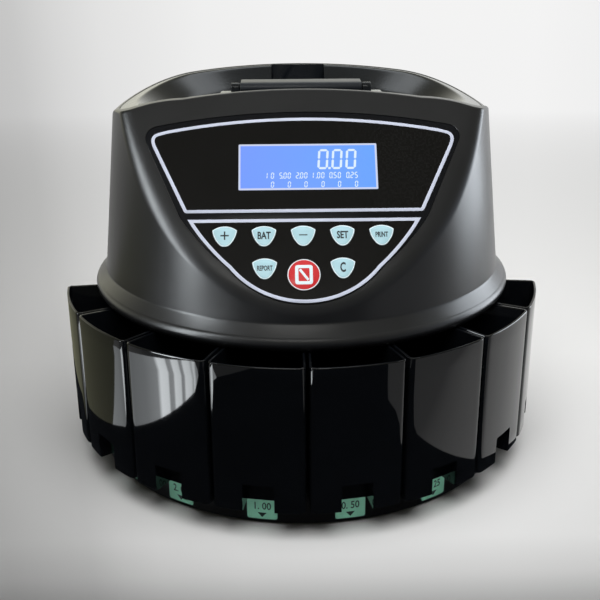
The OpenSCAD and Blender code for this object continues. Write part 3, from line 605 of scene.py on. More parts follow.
class Bench:
    """A node tree while it is made: a material's, the world's or a form's."""

    def __init__(self, name: str, tree: bpy.types.NodeTree | None = None) -> None:
        """Start a material with a plain shader on it, or clear the world's own tree."""
        if tree is not None:
            self.tree = tree
            tree.nodes.clear()
            self.output = tree.nodes.new("ShaderNodeOutputWorld")
            return
        self.material = bpy.data.materials.new(name)
        self.material.use_nodes = True
        self.tree = self.material.node_tree
        self.tree.nodes.clear()
        self.output = self.tree.nodes.new("ShaderNodeOutputMaterial")
        self.shader = self.tree.nodes.new("ShaderNodeBsdfPrincipled")
        self.tree.links.new(self.shader.outputs[0], self.output.inputs[0])

    def make(
        self,
        kind: str,
        settings: dict[str, object] | None = None,
        inputs: dict[str | int, Value] | None = None,
        out: str | int = 0,
    ) -> Sock:
        """Add a node.

        Args:
            kind: the node's type.
            settings: its settings, or a ramp's stops under "stops", which are set first.
            inputs: values or links of its sockets, by name or number.
            out: which output to return.

        Returns:
            The output.
        """
        node = self.tree.nodes.new(kind)
        for key, value in (settings or {}).items():
            if key == "stops":
                ramp = node.color_ramp
                while len(ramp.elements) < len(value):
                    ramp.elements.new(0.5)
                for element, (at, colour) in zip(ramp.elements, value):
                    element.position, element.color = at, (*colour, 1)
            else:
                setattr(node, key, value)
        for key, value in (inputs or {}).items():
            self._feed(node.inputs[key], value)
        return Sock(self, node.outputs[out])

    def _feed(self, socket: bpy.types.NodeSocket, value: Value) -> None:
        """Link or set one socket."""
        if isinstance(value, Sock):
            self.tree.links.new(value.link, socket)
        elif isinstance(value, (int, float)):
            socket.default_value = value
        elif isinstance(value[0], Sock):
            for part in value:
                self.tree.links.new(part.link, socket)
        else:
            value = tuple(value)
            wide = socket.type == "RGBA" and len(value) == 3
            socket.default_value = (*value, 1) if wide else value

    def set(self, **values: Value) -> "Bench":
        """Set the shader's sockets, with each name's spaces written as underscores."""
        for key, value in values.items():
            self._feed(self.shader.inputs[key.replace("_", " ")], value)
        return self

    def maths(self, operation: str, *values: Value) -> Sock:
        """Return the result of a Math node."""
        return self.make("ShaderNodeMath", {"operation": operation}, dict(enumerate(values)))

    def parts(self, vector: Sock) -> list[Sock]:
        """Return the three parts of a vector."""
        node = self.make("ShaderNodeSeparateXYZ", None, {0: vector}).link.node
        return [Sock(self, out) for out in node.outputs]

    def ramp(self, stops: Sequence[tuple[float, Colour]], value: Sock) -> Sock:
        """Return the colour that a ramp has for a value."""
        return self.make("ShaderNodeValToRGB", {"stops": stops}, {0: value})

    def ray(self, kind: str) -> Sock:
        """Return 1 for rays of a kind."""
        return self.make("ShaderNodeLightPath", out=f"Is {kind} Ray")

    def place(self) -> Sock:
        """Return the object's own coordinates, in metres."""
        return self.make("ShaderNodeTexCoord", out="Object")

    def noise(self, size: float, detail: float = 3, stretch: Sequence[float] = (1, 1, 1)) -> Sock:
        """Return cloudy noise with marks of a size in millimetres."""
        inputs = {"Vector": self.place(), "Scale": stretch}
        where = self.make("ShaderNodeMapping", {"vector_type": "POINT"}, inputs)
        return self.make(
            "ShaderNodeTexNoise",
            {"noise_dimensions": "3D"},
            {"Vector": where, "Scale": 1000 / size, "Detail": detail, "Roughness": 0.55},
            "Fac",
        )

    def ranged(self, value: Sock, low: float, high: float, out_low: float, out_high: float) -> Sock:
        """Map a value from one range to another, held at its ends."""
        return self.make(
            "ShaderNodeMapRange",
            {"clamp": True},
            {"Value": value, "From Min": low, "From Max": high, "To Min": out_low, "To Max": out_high},
        )

    def blend(self, factor: Value, first: Value, second: Value) -> Sock:
        """Mix two colours."""
        return self.make("ShaderNodeMix", {"data_type": "RGBA"}, {0: factor, 6: first, 7: second}, 2)

    def bump(self, height: Sock, depth: float, strength: float = 1) -> "Bench":
        """Raise the surface by a height map, with its depth in millimetres."""
        inputs = {"Height": height, "Strength": strength, "Distance": depth / 1000}
        return self.set(Normal=self.make("ShaderNodeBump", None, inputs, "Normal"))


class Pattern(Bench):
    """A Geometry Nodes tree with a named input for each size, in metres."""

    def __init__(self, name: str, **sizes: float | int) -> None:
        """Start a tree that puts a form at each of its places."""
        self.tree = bpy.data.node_groups.new(name, "GeometryNodeTree")
        self.tree.is_modifier = True
        face = self.tree.interface
        face.new_socket("Geometry", in_out="OUTPUT", socket_type="NodeSocketGeometry")
        face.new_socket("Places", in_out="INPUT", socket_type="NodeSocketGeometry")
        self.values: dict[str, float | int] = {}
        for key, value in sizes.items():
            kind = "NodeSocketInt" if isinstance(value, int) else "NodeSocketFloat"
            self.values[face.new_socket(key, in_out="INPUT", socket_type=kind).identifier] = value
        finish = face.new_socket("finish", in_out="INPUT", socket_type="NodeSocketMaterial")
        self.finish_id = finish.identifier
        self.source = self.tree.nodes.new("NodeGroupInput")

    def __getitem__(self, name: str) -> Sock:
        """Return one of the tree's inputs."""
        return Sock(self, self.source.outputs[name])

    def at(self, x: Value = 0.0, y: Value = 0.0, z: Value = 0.0) -> Sock:
        """Return a vector."""
        return self.make("ShaderNodeCombineXYZ", None, {"X": x, "Y": y, "Z": z})

    def drum(self, radius: Value, height: Value, count: int, steps: int = 1) -> Sock:
        """Return a cylinder that stands on the level of its place."""
        drum = self.make(
            "GeometryNodeMeshCylinder",
            None,
            {"Vertices": count, "Side Segments": steps, "Radius": radius, "Depth": height},
        )
        return self.moved(drum, self.at(z=height * 0.5 if isinstance(height, Sock) else height / 2))

    def block(self, x: Value, y: Value, z: Value) -> Sock:
        """Return a block about its centre."""
        return self.make("GeometryNodeMeshCube", None, {"Size": self.at(x, y, z)})

    def moved(self, form: Sock, by: Sock, turn: Value = (0, 0, 0)) -> Sock:
        """Move a form, after a turn in radians."""
        inputs = {"Geometry": form, "Translation": by, "Rotation": turn}
        return self.make("GeometryNodeTransform", None, inputs)

    def shaped(self, form: Sock, rule: Callable[[Sock], Sock]) -> Sock:
        """Scale a form's width at each height by a rule."""
        x, y, z = self.parts(self.make("GeometryNodeInputPosition"))
        wide = rule(z)
        inputs = {"Geometry": form, "Position": self.at(x * wide, y * wide, z)}
        return self.make("GeometryNodeSetPosition", None, inputs)

    def cut(self, form: Sock, *cutters: Sock) -> Sock:
        """Take forms away from a form."""
        settings = {"operation": "DIFFERENCE", "solver": "MANIFOLD"}
        return self.make("GeometryNodeMeshBoolean", settings, {"Mesh 1": form, "Mesh 2": cutters})

    def union(self, *forms: Sock) -> Sock:
        """Make forms one solid."""
        settings = {"operation": "UNION", "solver": "MANIFOLD"}
        return self.make("GeometryNodeMeshBoolean", settings, {"Mesh 2": forms})

    def joined(self, *forms: Sock) -> Sock:
        """Put forms in one mesh."""
        return self.make("GeometryNodeJoinGeometry", None, {"Geometry": forms})

    def spread(self, form: Sock, points: Sock, turn: Value = (0, 0, 0)) -> Sock:
        """Put a form at every point."""
        return self.make(
            "GeometryNodeInstanceOnPoints", None, {"Points": points, "Instance": form, "Rotation": turn}
        )

    def end(self, form: Sock) -> None:
        """Make the form real and give it the finish."""
        real = self.make("GeometryNodeRealizeInstances", None, {"Geometry": form})
        dressed = self.make("GeometryNodeSetMaterial", None, {"Geometry": real, "Material": self["finish"]})
        output = self.tree.nodes.new("NodeGroupOutput")
        self.tree.links.new(dressed.link, output.inputs[0])

    def run(self, piece: str, places: Array, finish: "Finish", smooth: float = 35) -> Piece:
        """Make a plain mesh from the tree.

        Args:
            piece: the new object's name.
            places: the form's places, in metres.
            finish: the finish that the tree sets.
            smooth: the largest angle that is shaded smooth, in degrees.

        Returns:
            The object, with no modifier left.
        """
        guide_mesh = bpy.data.meshes.new(piece + "_places")
        guide_mesh.from_pydata([tuple(map(float, place)) for place in places], [], [])
        guide = linked(piece + "_places", guide_mesh)
        layer = guide.modifiers.new("pattern", "NODES")
        layer.node_group = self.tree
        for identifier, value in self.values.items():
            layer[identifier] = value
        layer[self.finish_id] = finish.material()
        mesh = baked(guide)
        guide.modifiers.remove(layer)
        bpy.data.objects.remove(guide)
        bpy.data.meshes.remove(guide_mesh)
        tidy(mesh, smooth)
        mesh.name = piece
        return linked(piece, mesh)


def tone(red: int, green: int, blue: int) -> Colour:
    """Turn a colour written in 0 to 255 into the shader's linear values."""

    def linear(v: float) -> float:
        """One channel."""
        v /= 255
        return v / 12.92 if v <= 0.04045 else ((v + 0.055) / 1.055) ** 2.4

    return (linear(red), linear(green), linear(blue))


@dataclass(frozen=True)
class Plastic:
    """Moulded plastic with a fine grain and faint handling marks."""

    name: str
    colour: Colour
    roughness: float
    grain: float = 0.6
    depth: float = 0.02
    spread: float = 0.06
    shine: float = 0.5
    coat: float = 0.0
    mottle: float = 0.12

    def material(self) -> bpy.types.Material:
        """Build the material.

        Returns:
            The material.
        """
        bench = Bench(self.name)
        grain = bench.noise(self.grain, 2)
        cloud = bench.noise(28, 4)
        smudge = bench.noise(9, 5, (1, 1, 0.4))
        darker = tuple(c * (1 - self.mottle) for c in self.colour)
        lighter = tuple(min(1, c * (1 + self.mottle)) for c in self.colour)
        colour = bench.blend(bench.ranged(cloud, 0.3, 0.7, 0, 1), darker, lighter)
        rough = self.roughness + (smudge - 0.5) * self.spread + (grain - 0.5) * self.spread * 0.5
        bench.set(Base_Color=colour, Roughness=rough, Specular_IOR_Level=self.shine)
        if self.coat:
            bench.set(Coat_Weight=self.coat, Coat_Roughness=0.08)
        bench.bump(grain, self.depth)
        return bench.material


@dataclass(frozen=True)
class Metal:
    """Bare or plated metal with fine drawn marks."""

    name: str
    colour: Colour
    roughness: float
    along: tuple[float, float, float] = (1, 1, 1)
    depth: float = 0.01

    def material(self) -> bpy.types.Material:
        """Build the material.

        Returns:
            The material.
        """
        bench = Bench(self.name)
        drawn = bench.noise(1.2, 3, self.along)
        cloud = bench.noise(14, 4)
        dull = tuple(c * 0.78 for c in self.colour)
        bench.set(
            Base_Color=bench.blend(bench.ranged(cloud, 0.35, 0.7, 0, 1), dull, self.colour),
            Metallic=1.0,
            Roughness=self.roughness + (drawn - 0.5) * 0.16 + (cloud - 0.5) * 0.1,
        )
        bench.bump(drawn, self.depth)
        return bench.material


@dataclass(frozen=True)
class Ink:
    """A printed or painted surface, slightly uneven."""

    name: str
    colour: Colour
    roughness: float = 0.45

    def material(self) -> bpy.types.Material:
        """Build the material.

        Returns:
            The material.
        """
        bench = Bench(self.name)
        fleck = bench.noise(0.5, 2)
        cloud = bench.noise(12, 3)
        worn = tuple(c * 0.86 for c in self.colour)
        wear = bench.ranged(fleck * 0.4 + cloud * 0.6, 0.35, 0.65, 0, 1)
        bench.set(
            Base_Color=bench.blend(wear, worn, self.colour), Roughness=self.roughness + (cloud - 0.5) * 0.1
        )
        bench.bump(fleck, 0.006)
        return bench.material


@dataclass(frozen=True)
class Glow:
    """A lit display surface, brighter at one end than at the other."""

    name: str
    left: Colour
    right: Colour
    reach: float
    strength: float = 1.0

    def material(self) -> bpy.types.Material:
        """Build the material.

        Returns:
            The material.
        """
        bench = Bench(self.name)
        x = bench.parts(bench.place())[0]
        along = bench.ranged(x, -self.reach / 1000, self.reach / 1000, 0, 1)
        cloud = bench.noise(16, 2)
        colour = bench.blend(along + (cloud - 0.5) * 0.3, self.left, self.right)
        bench.set(Base_Color=(0.02, 0.03, 0.08), Roughness=0.22, Emission_Color=colour)
        bench.set(Emission_Strength=self.strength)
        return bench.material


@dataclass(frozen=True)
class Board:
    """A green circuit board with its copper tracks under the lacquer."""

    name: str

    def material(self) -> bpy.types.Material:
        """Build the material.

        Returns:
            The material.
        """
        bench = Bench(self.name)
        tracks = bench.make(
            "ShaderNodeTexVoronoi",
            {"feature": "F1", "distance": "CHEBYCHEV"},
            {"Vector": bench.place(), "Scale": 260.0},
            "Distance",
        )
        line = bench.ranged(tracks, 0.3, 0.36, 0, 1)
        bench.set(
            Base_Color=bench.blend(line, (0.006, 0.07, 0.03), (0.02, 0.16, 0.07)),
            Roughness=0.35 + (bench.noise(3, 3) - 0.5) * 0.1,
        )
        bench.bump(line, 0.03)
        return bench.material


class Finish(Enum):
    """The finishes of the machine, each made into a material once."""

    SHELL = Plastic("shell_plastic", (0.0105, 0.011, 0.0125), 0.30, 0.45, 0.03, 0.07, 0.5)
    CUP = Plastic("cup_plastic", (0.0025, 0.003, 0.004), 0.045, 9.0, 0.0, 0.02, 0.5)
    BOWL = Plastic("bowl_plastic", (0.0060, 0.0075, 0.0100), 0.18, 2.0, 0.02, 0.05, 0.5)
    BASE = Plastic("base_plastic", (0.005, 0.0052, 0.0055), 0.33, 0.5, 0.03)
    FLAP = Plastic("flap_plastic", (0.012, 0.0145, 0.019), 0.34, 0.5, 0.03)
    FILM = Plastic("film_black", (0.0030, 0.0035, 0.0055), 0.20, 0.3, 0.006, 0.04, 0.3)
    FIELD = Plastic("film_field", (0.0032, 0.0032, 0.0036), 0.22, 0.3, 0.006, 0.04, 0.3)
    WHITE_INK = Ink("white_ink", tone(190, 196, 214))
    KEY_EDGE = Ink("key_edge", tone(222, 236, 242), 0.3)
    KEY = Plastic("cyan_cap", tone(160, 198, 208), 0.28, 0.4, 0.004, 0.04, 0.5, 0.3, 0.03)
    RED_KEY = Plastic("red_cap", tone(190, 16, 26), 0.28, 0.4, 0.004, 0.04, 0.5, 0.3, 0.05)
    DARK_INK = Ink("dark_ink", (0.012, 0.016, 0.02), 0.4)
    MINT = Ink("mint_label", tone(150, 226, 196), 0.4)
    GREEN_INK = Ink("green_black_ink", (0.008, 0.03, 0.025), 0.45)
    DISPLAY = Glow("display_blue", tone(112, 148, 250), tone(98, 158, 255), 48)
    DIGITS = Glow("display_digits", tone(214, 230, 255), tone(222, 238, 255), 48)
    DISPLAY_EDGE = Glow("display_edge", tone(222, 228, 246), tone(222, 230, 250), 48, 0.8)
    STEEL = Metal("plated_steel", (0.62, 0.63, 0.65), 0.28)
    BLACK_STEEL = Metal("blackened_steel", (0.05, 0.05, 0.055), 0.35)
    TRACK = Metal("brushed_plate", (0.58, 0.59, 0.61), 0.3, (0.06, 1, 1))
    GREY = Plastic("grey_plastic", (0.22, 0.225, 0.23), 0.42, 0.6, 0.03)
    RUBBER = Plastic("black_rubber", (0.02, 0.02, 0.02), 0.7, 0.4, 0.05, 0.1, 0.3)
    BOARD = Board("circuit_board")

    def material(self) -> bpy.types.Material:
        """Return the finish's material, made on first use."""
        return bpy.data.materials.get(self.value.name) or self.value.material()


def dress(piece: Piece, finish: Finish) -> Piece:
    """Give a piece its finish."""
    piece.data.materials.clear()
    piece.data.materials.append(finish.material())
    return piece


def enrol(piece: Piece, body: str, finish: Finish, *nodes: str) -> Piece:
    """Dress a piece, make it ride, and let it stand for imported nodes.

    Args:
        piece: the finished piece.
        body: the body that it moves with.
        finish: its finish.
        *nodes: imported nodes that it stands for.

    Returns:
        The piece.
    """
    dress(piece, finish)
    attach(piece, body)
    if nodes:
        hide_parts(*nodes)
    LOG.info("%s: %d faces on %s", piece.name, len(piece.data.polygons), body)
    return piece


STACK = Stack.measured()


# ---- Upper body ----


@dataclass
class BodyShell:
    """The upper body: skirt, tapering wall, sloping console, rim and crowned lip."""

    stack: Stack
    wall: float = 2.8
    skirt_edge: float = 5.5
    skirt_out: float = 8.2
    opening_r: float = 130.74
    recess: float = 1.0
    wall_start: float = 18.2
    rim_edge: float = 1.5
    crease: float = 5.0
    crease_more: float = 9.0
    fine: float = 0.5
    coarse: float = 1.6
    boss_angles: tuple[float, ...] = (-150, -96, 96, 150)
    film: "Film" = field(default_factory=lambda: Film(STACK))

    def columns(self) -> Array:
        """Angles of the mesh's columns, closer together over the front and its creases."""
        front = np.arange(-84, 84.01, self.fine)
        rear = np.arange(84 + self.coarse, 276, self.coarse)
        return np.radians(np.concatenate([front, rear]))

    def face_r(self, turn: Array, h: Array, inset: float) -> Array:
        """Distance from the axis to the console's plane, moved inwards by an inset."""
        tilt = math.radians(self.stack.console_tilt)
        y = self.stack.console_y + (h - self.stack.console_h) / math.tan(tilt) + inset / math.sin(tilt)
        return plane_r(turn, -y)

    def outer_r(self, turn: Array, h: Array) -> Array:
        """Radius of the outside at a turn and a height."""
        blend = self.crease + self.crease_more * smooth_step((h - 32) / 70)
        r = soft_min(self.stack.wall_r(h) + 0 * turn, self.face_r(turn, h, 0), blend)
        return self.clamp_rear(turn, r)

    def clamp_rear(self, turn: Array, r: Array) -> Array:
        """Keep the outside in front of the flat at the rear."""
        return soft_min(r, plane_r(turn, self.stack.rear_y, -1), 1.5)

    def top(self, turn: Array, r: Array) -> Array:
        """Height of the rim or the lip at a turn and a radius."""
        x, y = r * np.sin(turn), -r * np.cos(turn)
        rim = self.stack.rim_top(x)
        crown_r = self.stack.lip_crown_r
        lip = self.stack.lip_h - crown_r + np.sqrt(np.maximum(crown_r**2 - x**2, 1))
        front = smooth_step((-y - 18) / 22)
        return rim + front * np.maximum(lip - rim, 0)

    def opening(self, turn: Array) -> Array:
        """Radius of the hopper's opening."""
        return soft_min(self.opening_r + 0 * turn, plane_r(turn, self.stack.hopper_front), 8.0)

    def rows(self) -> tuple[Array, Array, Array]:
        """Work out the closed skin of the shell.

        Returns:
            The radii and heights by row and column, and the columns' angles.
        """
        turn = self.columns()
        one = np.ones_like(turn)
        rows: list[tuple[Array, Array]] = []
        skirt_c = self.stack.groove_r + self.skirt_out - self.skirt_edge
        rise = self.skirt_edge * math.sin(math.radians(60))
        inside = self.stack.groove_r + 0.9
        skirt = [(inside + 0.4, 0.0), (skirt_c + 1.6, 0.0)]
        skirt += arc((skirt_c, rise), self.skirt_edge, -58, 53.5, 16)
        ridge = arc((skirt_c, rise), self.skirt_edge, 54.7, 54.8, 1)[0]
        lean = np.array([self.stack.groove_r - ridge[0], self.stack.groove_h - ridge[1]])
        lean /= np.linalg.norm(lean)
        skirt += [ridge, tuple(np.array(ridge) + lean * 0.35)]
        bottom = np.array([self.stack.groove_r, self.stack.groove_h])
        bead = bottom - lean * 0.55
        skirt += [tuple(bead - lean * 0.5), tuple(bead + [0.02, 0.12]), tuple(bottom + [0.05, 0.25])]
        skirt += [tuple(bottom + [-0.12, 0.9]), (float(self.stack.wall_r(17.4)), 17.4)]
        for r, h in skirt:
            rows.append((self.clamp_rear(turn, r * one), h * one))
        peak = np.full_like(turn, 140.0)
        for _ in range(12):
            peak = self.top(turn, self.outer_r(turn, peak))
        low, full, edge = self.wall_start, self.stack.rim_h, self.rim_edge
        steps = np.concatenate([np.arange(low, 46, 0.8), np.linspace(46.5, full, 92)])
        share = (steps - low) / (full - low)
        for t in share[:-1]:
            h = low + (peak - edge - low) * t
            rows.append((self.outer_r(turn, h), h))
        corner_r = self.outer_r(turn, peak)
        open_r = self.opening(turn)
        width = np.maximum(corner_r - open_r, 0.8)
        step = np.minimum(edge, width * 0.42)
        below = peak - edge
        below_r = self.outer_r(turn, below)
        inner_r = corner_r - step
        inner_h = self.top(turn, inner_r)
        for t in np.linspace(0, 1, 7):
            rows.append((bend(below_r, corner_r, inner_r, t), bend(below, peak, inner_h, t)))
        fillet = np.minimum(0.9, width * 0.3)
        lip_r = open_r + fillet
        for t in (0.35, 0.7):
            r = inner_r + (lip_r - inner_r) * t
            rows.append((r, self.top(turn, r)))
        flat_h, open_h = self.top(turn, lip_r), self.top(turn, open_r)
        for t in np.linspace(0, 1, 5):
            rows.append((bend(lip_r, open_r, open_r, t), bend(flat_h, open_h, open_h - fillet, t)))
        rows.append((open_r, open_h - 4.0))
        under = open_h - 4.6
        for t in np.linspace(0, 1, 16):
            h = under + (17.0 - under) * t
            wall_r = self.stack.wall_r(h) - self.wall + 0 * turn
            inner = soft_min(wall_r, self.face_r(turn, h, self.wall), 8.0)
            rows.append((np.minimum(inner, self.outer_r(turn, h) - 1.2), h))
        rows.append((self.clamp_rear(turn, inside * one), 10.0 * one))
        rows.append((inside * one, 0.4 * one))
        radii, heights = (np.array(v) for v in zip(*rows))
        return radii, heights, turn

    def build(self) -> Piece:
        """Make the shell with its recess, holes, bosses and posts.

        Returns:
            The shell.
        """
        radii, heights, turn = self.rows()
        skin = revolved(turn, radii, heights, self.stack.body_z)
        shell = Form().skin(skin, ring=True).build("body_shell", 38)
        carved(shell, [self.inner_posts()], Cut.JOIN, 38)
        return carved(shell, self.recess_cutters(), Cut.AWAY, 38)

    def recess_cutters(self) -> list[Piece]:
        """Forms of the film's recess, the display window and the keys' holes.

        Returns:
            The recess, and all the holes as one object.
        """
        outline = self.film.outline(0)
        levels = [(-self.recess, 0.0), (-0.45, 0.0), (-0.12, 0.12), (0.35, 0.6), (9.0, 0.6)]
        rows = []
        for n, out in levels:
            rows.append(self.stack.on_console(np.array([(x, y, n) for x, y in grown(outline, out)])))
        holes = Form()
        for spot in self.film.key_spots():
            holes.plate([arc(spot, 2.9, 0, 345, 23)], -14, 1, 0, self.stack.on_console)
        holes.plate([box_corners(self.film.window_middle, 43.5, 14.5)], -14, 1, 0, self.stack.on_console)
        return [Form().skin(np.array(rows), caps=True).build("recess"), holes.build("holes")]

    def inner_posts(self) -> Piece:
        """Posts that carry the deck and the boards inside the shell.

        Returns:
            The posts as one object.
        """
        form = Form()
        boss_z = 127.1
        for angle in self.boss_angles:
            a = math.radians(angle)
            spot = np.array([139.8 * math.sin(a), -139.8 * math.cos(a), boss_z])
            form.turned([(3.8, 0), (3.8, 24), (1.5, 24), (1.5, 12)], lambda p, s=spot: p + s, 24)
        for x, s, low in [
            (-38.7, 47.4, -8), (36.7, 47.4, -8), (-38.3, 25.2, -8), (36.3, 25.2, -8),
            (-46.5, 78.1, -10), (52.5, 78.1, -10), (-46.5, 115.1, -10), (52.5, 115.1, -10),
        ]:
            def place(p: Array, x: float = x, s: float = s) -> Array:
                """Set the post under the console."""
                return self.stack.on_console(p + [x, s, 0])

            form.turned([(2.2, low), (2.2, -1.6)], place, 20)
        return form.build("inner_posts")


@dataclass
class Film:
    """The printed film in the console's recess, with its lines, window and keys."""

    stack: Stack
    forehead: float = 17.3
    side_band: float = 10.6
    waist_s: float = 61.5
    foot_gap: float = 1.2
    foot_round: float = 62.1
    bow_r: float = 160.0
    arch_r: float = 480.0
    corner_r: float = 9.0
    window_middle: Point = (3.0, 96.6)
    window_size: Point = (91.0, 33.0)
    top: float = -0.2
    thick: float = 0.8
    line: float = 2.2
    key_x: float = -1.0
    key_pitch: float = 25.15
    key_side: float = 24.8
    row_a: float = 47.4
    row_b: float = 25.2
    row_round: float = 20.9
    key_w: float = 16.6
    key_h: float = 14.8
    round_d: float = 21.8

    @property
    def face_l(self) -> float:
        """Length of the console up its slope."""
        rise = self.stack.lip_h - self.stack.console_h
        return rise / math.sin(math.radians(self.stack.console_tilt))

    def face_half(self, s: float) -> float:
        """Half the width of the console at a place up its slope."""
        tilt = math.radians(self.stack.console_tilt)
        y = self.stack.console_y + s * math.cos(tilt)
        return math.sqrt(float(self.stack.wall_r(self.stack.console_h + s * math.sin(tilt))) ** 2 - y * y)

    def outline(self, inset: float) -> list[Point]:
        """Outline of the recess, shrunk by an inset.

        Args:
            inset: how far the outline lies inside the recess's edge.

        Returns:
            The outline.
        """
        top = self.face_l - self.forehead
        wide = self.face_half(top - 21) - self.side_band
        waist = self.face_half(self.waist_s) - self.side_band
        cx, reach = wide - self.corner_r, self.arch_r - self.corner_r
        corner = (cx, top - self.arch_r + math.sqrt(reach * reach - cx * cx))
        lean = math.degrees(math.atan2(wide - waist, corner[1] - self.waist_s))
        foot = (0.0, self.foot_gap + self.foot_round)
        side = arc(foot, self.foot_round - inset, -36, -90, 22)
        edge = math.degrees(math.asin(cx / reach))
        right = arc((0, top - self.arch_r), self.arch_r - inset, 90, 90 - edge, 18)
        right += arc(corner, self.corner_r - inset, 90 - edge, -lean, 10)[1:]
        right += self.bow((waist - inset, self.waist_s), side[0], self.bow_r, 10)
        right += side[1:]
        return mirrored(right)

    @staticmethod
    def bow(p: Point, q: Point, r: float, count: int) -> list[Point]:
        """Points on a shallow arc between two points."""
        d = (q[0] - p[0], q[1] - p[1])
        far = math.hypot(*d)
        up = math.sqrt(r * r - far * far / 4) / far
        c = ((p[0] + q[0]) / 2 + up * d[1], (p[1] + q[1]) / 2 - up * d[0])
        a0 = math.degrees(math.atan2(p[1] - c[1], p[0] - c[0]))
        a1 = math.degrees(math.atan2(q[1] - c[1], q[0] - c[0]))
        return arc(c, r, a0, a1, count)

    def key_spots(self) -> list[Point]:
        """Middles of the keys: the upper row, then the lower one."""
        upper = [(self.key_x + i * self.key_pitch, self.row_a) for i in range(-2, 3)]
        return upper + [
            (self.key_x - self.key_side, self.row_b), (self.key_x, self.row_round),
            (self.key_x + self.key_side, self.row_b),
        ]

    def shield(self) -> list[Point]:
        """Outline of a key: an arched top over bowed sides that run into a round foot.

        Returns:
            The outline about the key's middle.
        """
        w, h = self.key_w, self.key_h
        corner = (w / 2, h * 0.3)
        foot_r, side_r = w * 0.31, w
        foot = (0.0, foot_r - h / 2)
        gap = side_r - foot_r
        reach = math.hypot(corner[0] - foot[0], corner[1] - foot[1])
        swing = math.degrees(math.acos((gap * gap + reach * reach - side_r * side_r) / (2 * gap * reach)))
        lean = math.degrees(math.atan2(corner[1] - foot[1], corner[0])) + swing
        side = (foot[0] + gap * math.cos(math.radians(lean)), foot[1] + gap * math.sin(math.radians(lean)))
        start = math.degrees(math.atan2(corner[1] - side[1], corner[0] - side[0]))
        rise = h / 2 - corner[1]
        top_r = (w * w / 4 + rise * rise) / (2 * rise)
        edge = math.degrees(math.asin(w / 2 / top_r))
        right = arc((0, h / 2 - top_r), top_r, 90, 90 - edge, 9)
        right += arc(side, side_r, start, lean - 180, 12)[1:]
        right += arc(foot, foot_r, lean - 180, -90, 9)[1:]
        return mirrored(right)

    def key_outline(self, i: int, grow: float) -> list[Point]:
        """Outline of key i in its place, grown by an amount."""
        x, s = self.key_spots()[i]
        shape = arc((0, 0), self.round_d / 2 + grow, 0, 354, 59) if i == 6 else grown(self.shield(), grow)
        return [(x + a, s + b) for a, b in shape]

    def upper_line(self) -> list[Point]:
        """Middle of the white line round the display's field."""
        crown = 460.0
        top = arc((0, 131.7 - crown), crown, 90, 90 - math.degrees(math.asin(90 / crown)), 8)
        right = [(x, y, 0.0) for x, y in top] + [(101.6, 119.4, 9.0), (76.6, 65.2, 1.2)]
        left = [(-x, y, r) for x, y, r in reversed(right[1:])]
        return rounded(right + left, 8)

    def lower_line(self) -> list[Point]:
        """Middle of the white line round the keys' field."""
        foot = arc((0, 63.6), 60.2, -38, -90, 16)
        right = [(73.4, 58.4), (69.0, 49.6), (63.0, 41.6)]
        side = [right[0]] + self.bow((72.9, 57.4), foot[0], 150.0, 10)[1:] + foot[1:]
        return [(0.0, 58.4)] + side + [(-x, y) for x, y in reversed(side[:-1])]

    def build_film(self) -> None:
        """Make the film with its printed fields and white lines."""
        place = self.stack.on_console
        low = self.top - self.thick
        wide, tall = (v / 2 + 0.1 for v in self.window_size)
        window = rounded_box(self.window_middle, wide, tall, 0.8, 3)
        holes = [window] + [self.key_outline(i, -0.1) for i in range(8)]
        film = Form().plate([self.outline(0.2)] + holes, low, self.top, 0.12, place)
        enrol(film.build("console_film"), "main_unit", Finish.FILM, "console_membrane")
        keys = [self.key_outline(i, 0.02) for i in range(8)]
        upper = Form().plate([self.upper_line(), grown(window, 0.1)], self.top, self.top + 0.03, 0, place)
        upper.plate([self.lower_line()] + keys, self.top, self.top + 0.03, 0, place)
        enrol(upper.build("film_fields"), "main_unit", Finish.FIELD)
        lines = Form()
        for line in (self.upper_line(), self.lower_line()):
            pair = [grown(line, self.line / 2), grown(line, -self.line / 2)]
            lines.plate(pair, self.top, self.top + 0.08, 0.02, place)
        enrol(lines.build("film_lines"), "main_unit", Finish.WHITE_INK)


SEGMENTS: dict[str, str] = {
    "0": "abcdef", "1": "ef", "2": "abged", "5": "afgcd", "3": "abgcd", "4": "fgbc", "6": "afgedc",
}


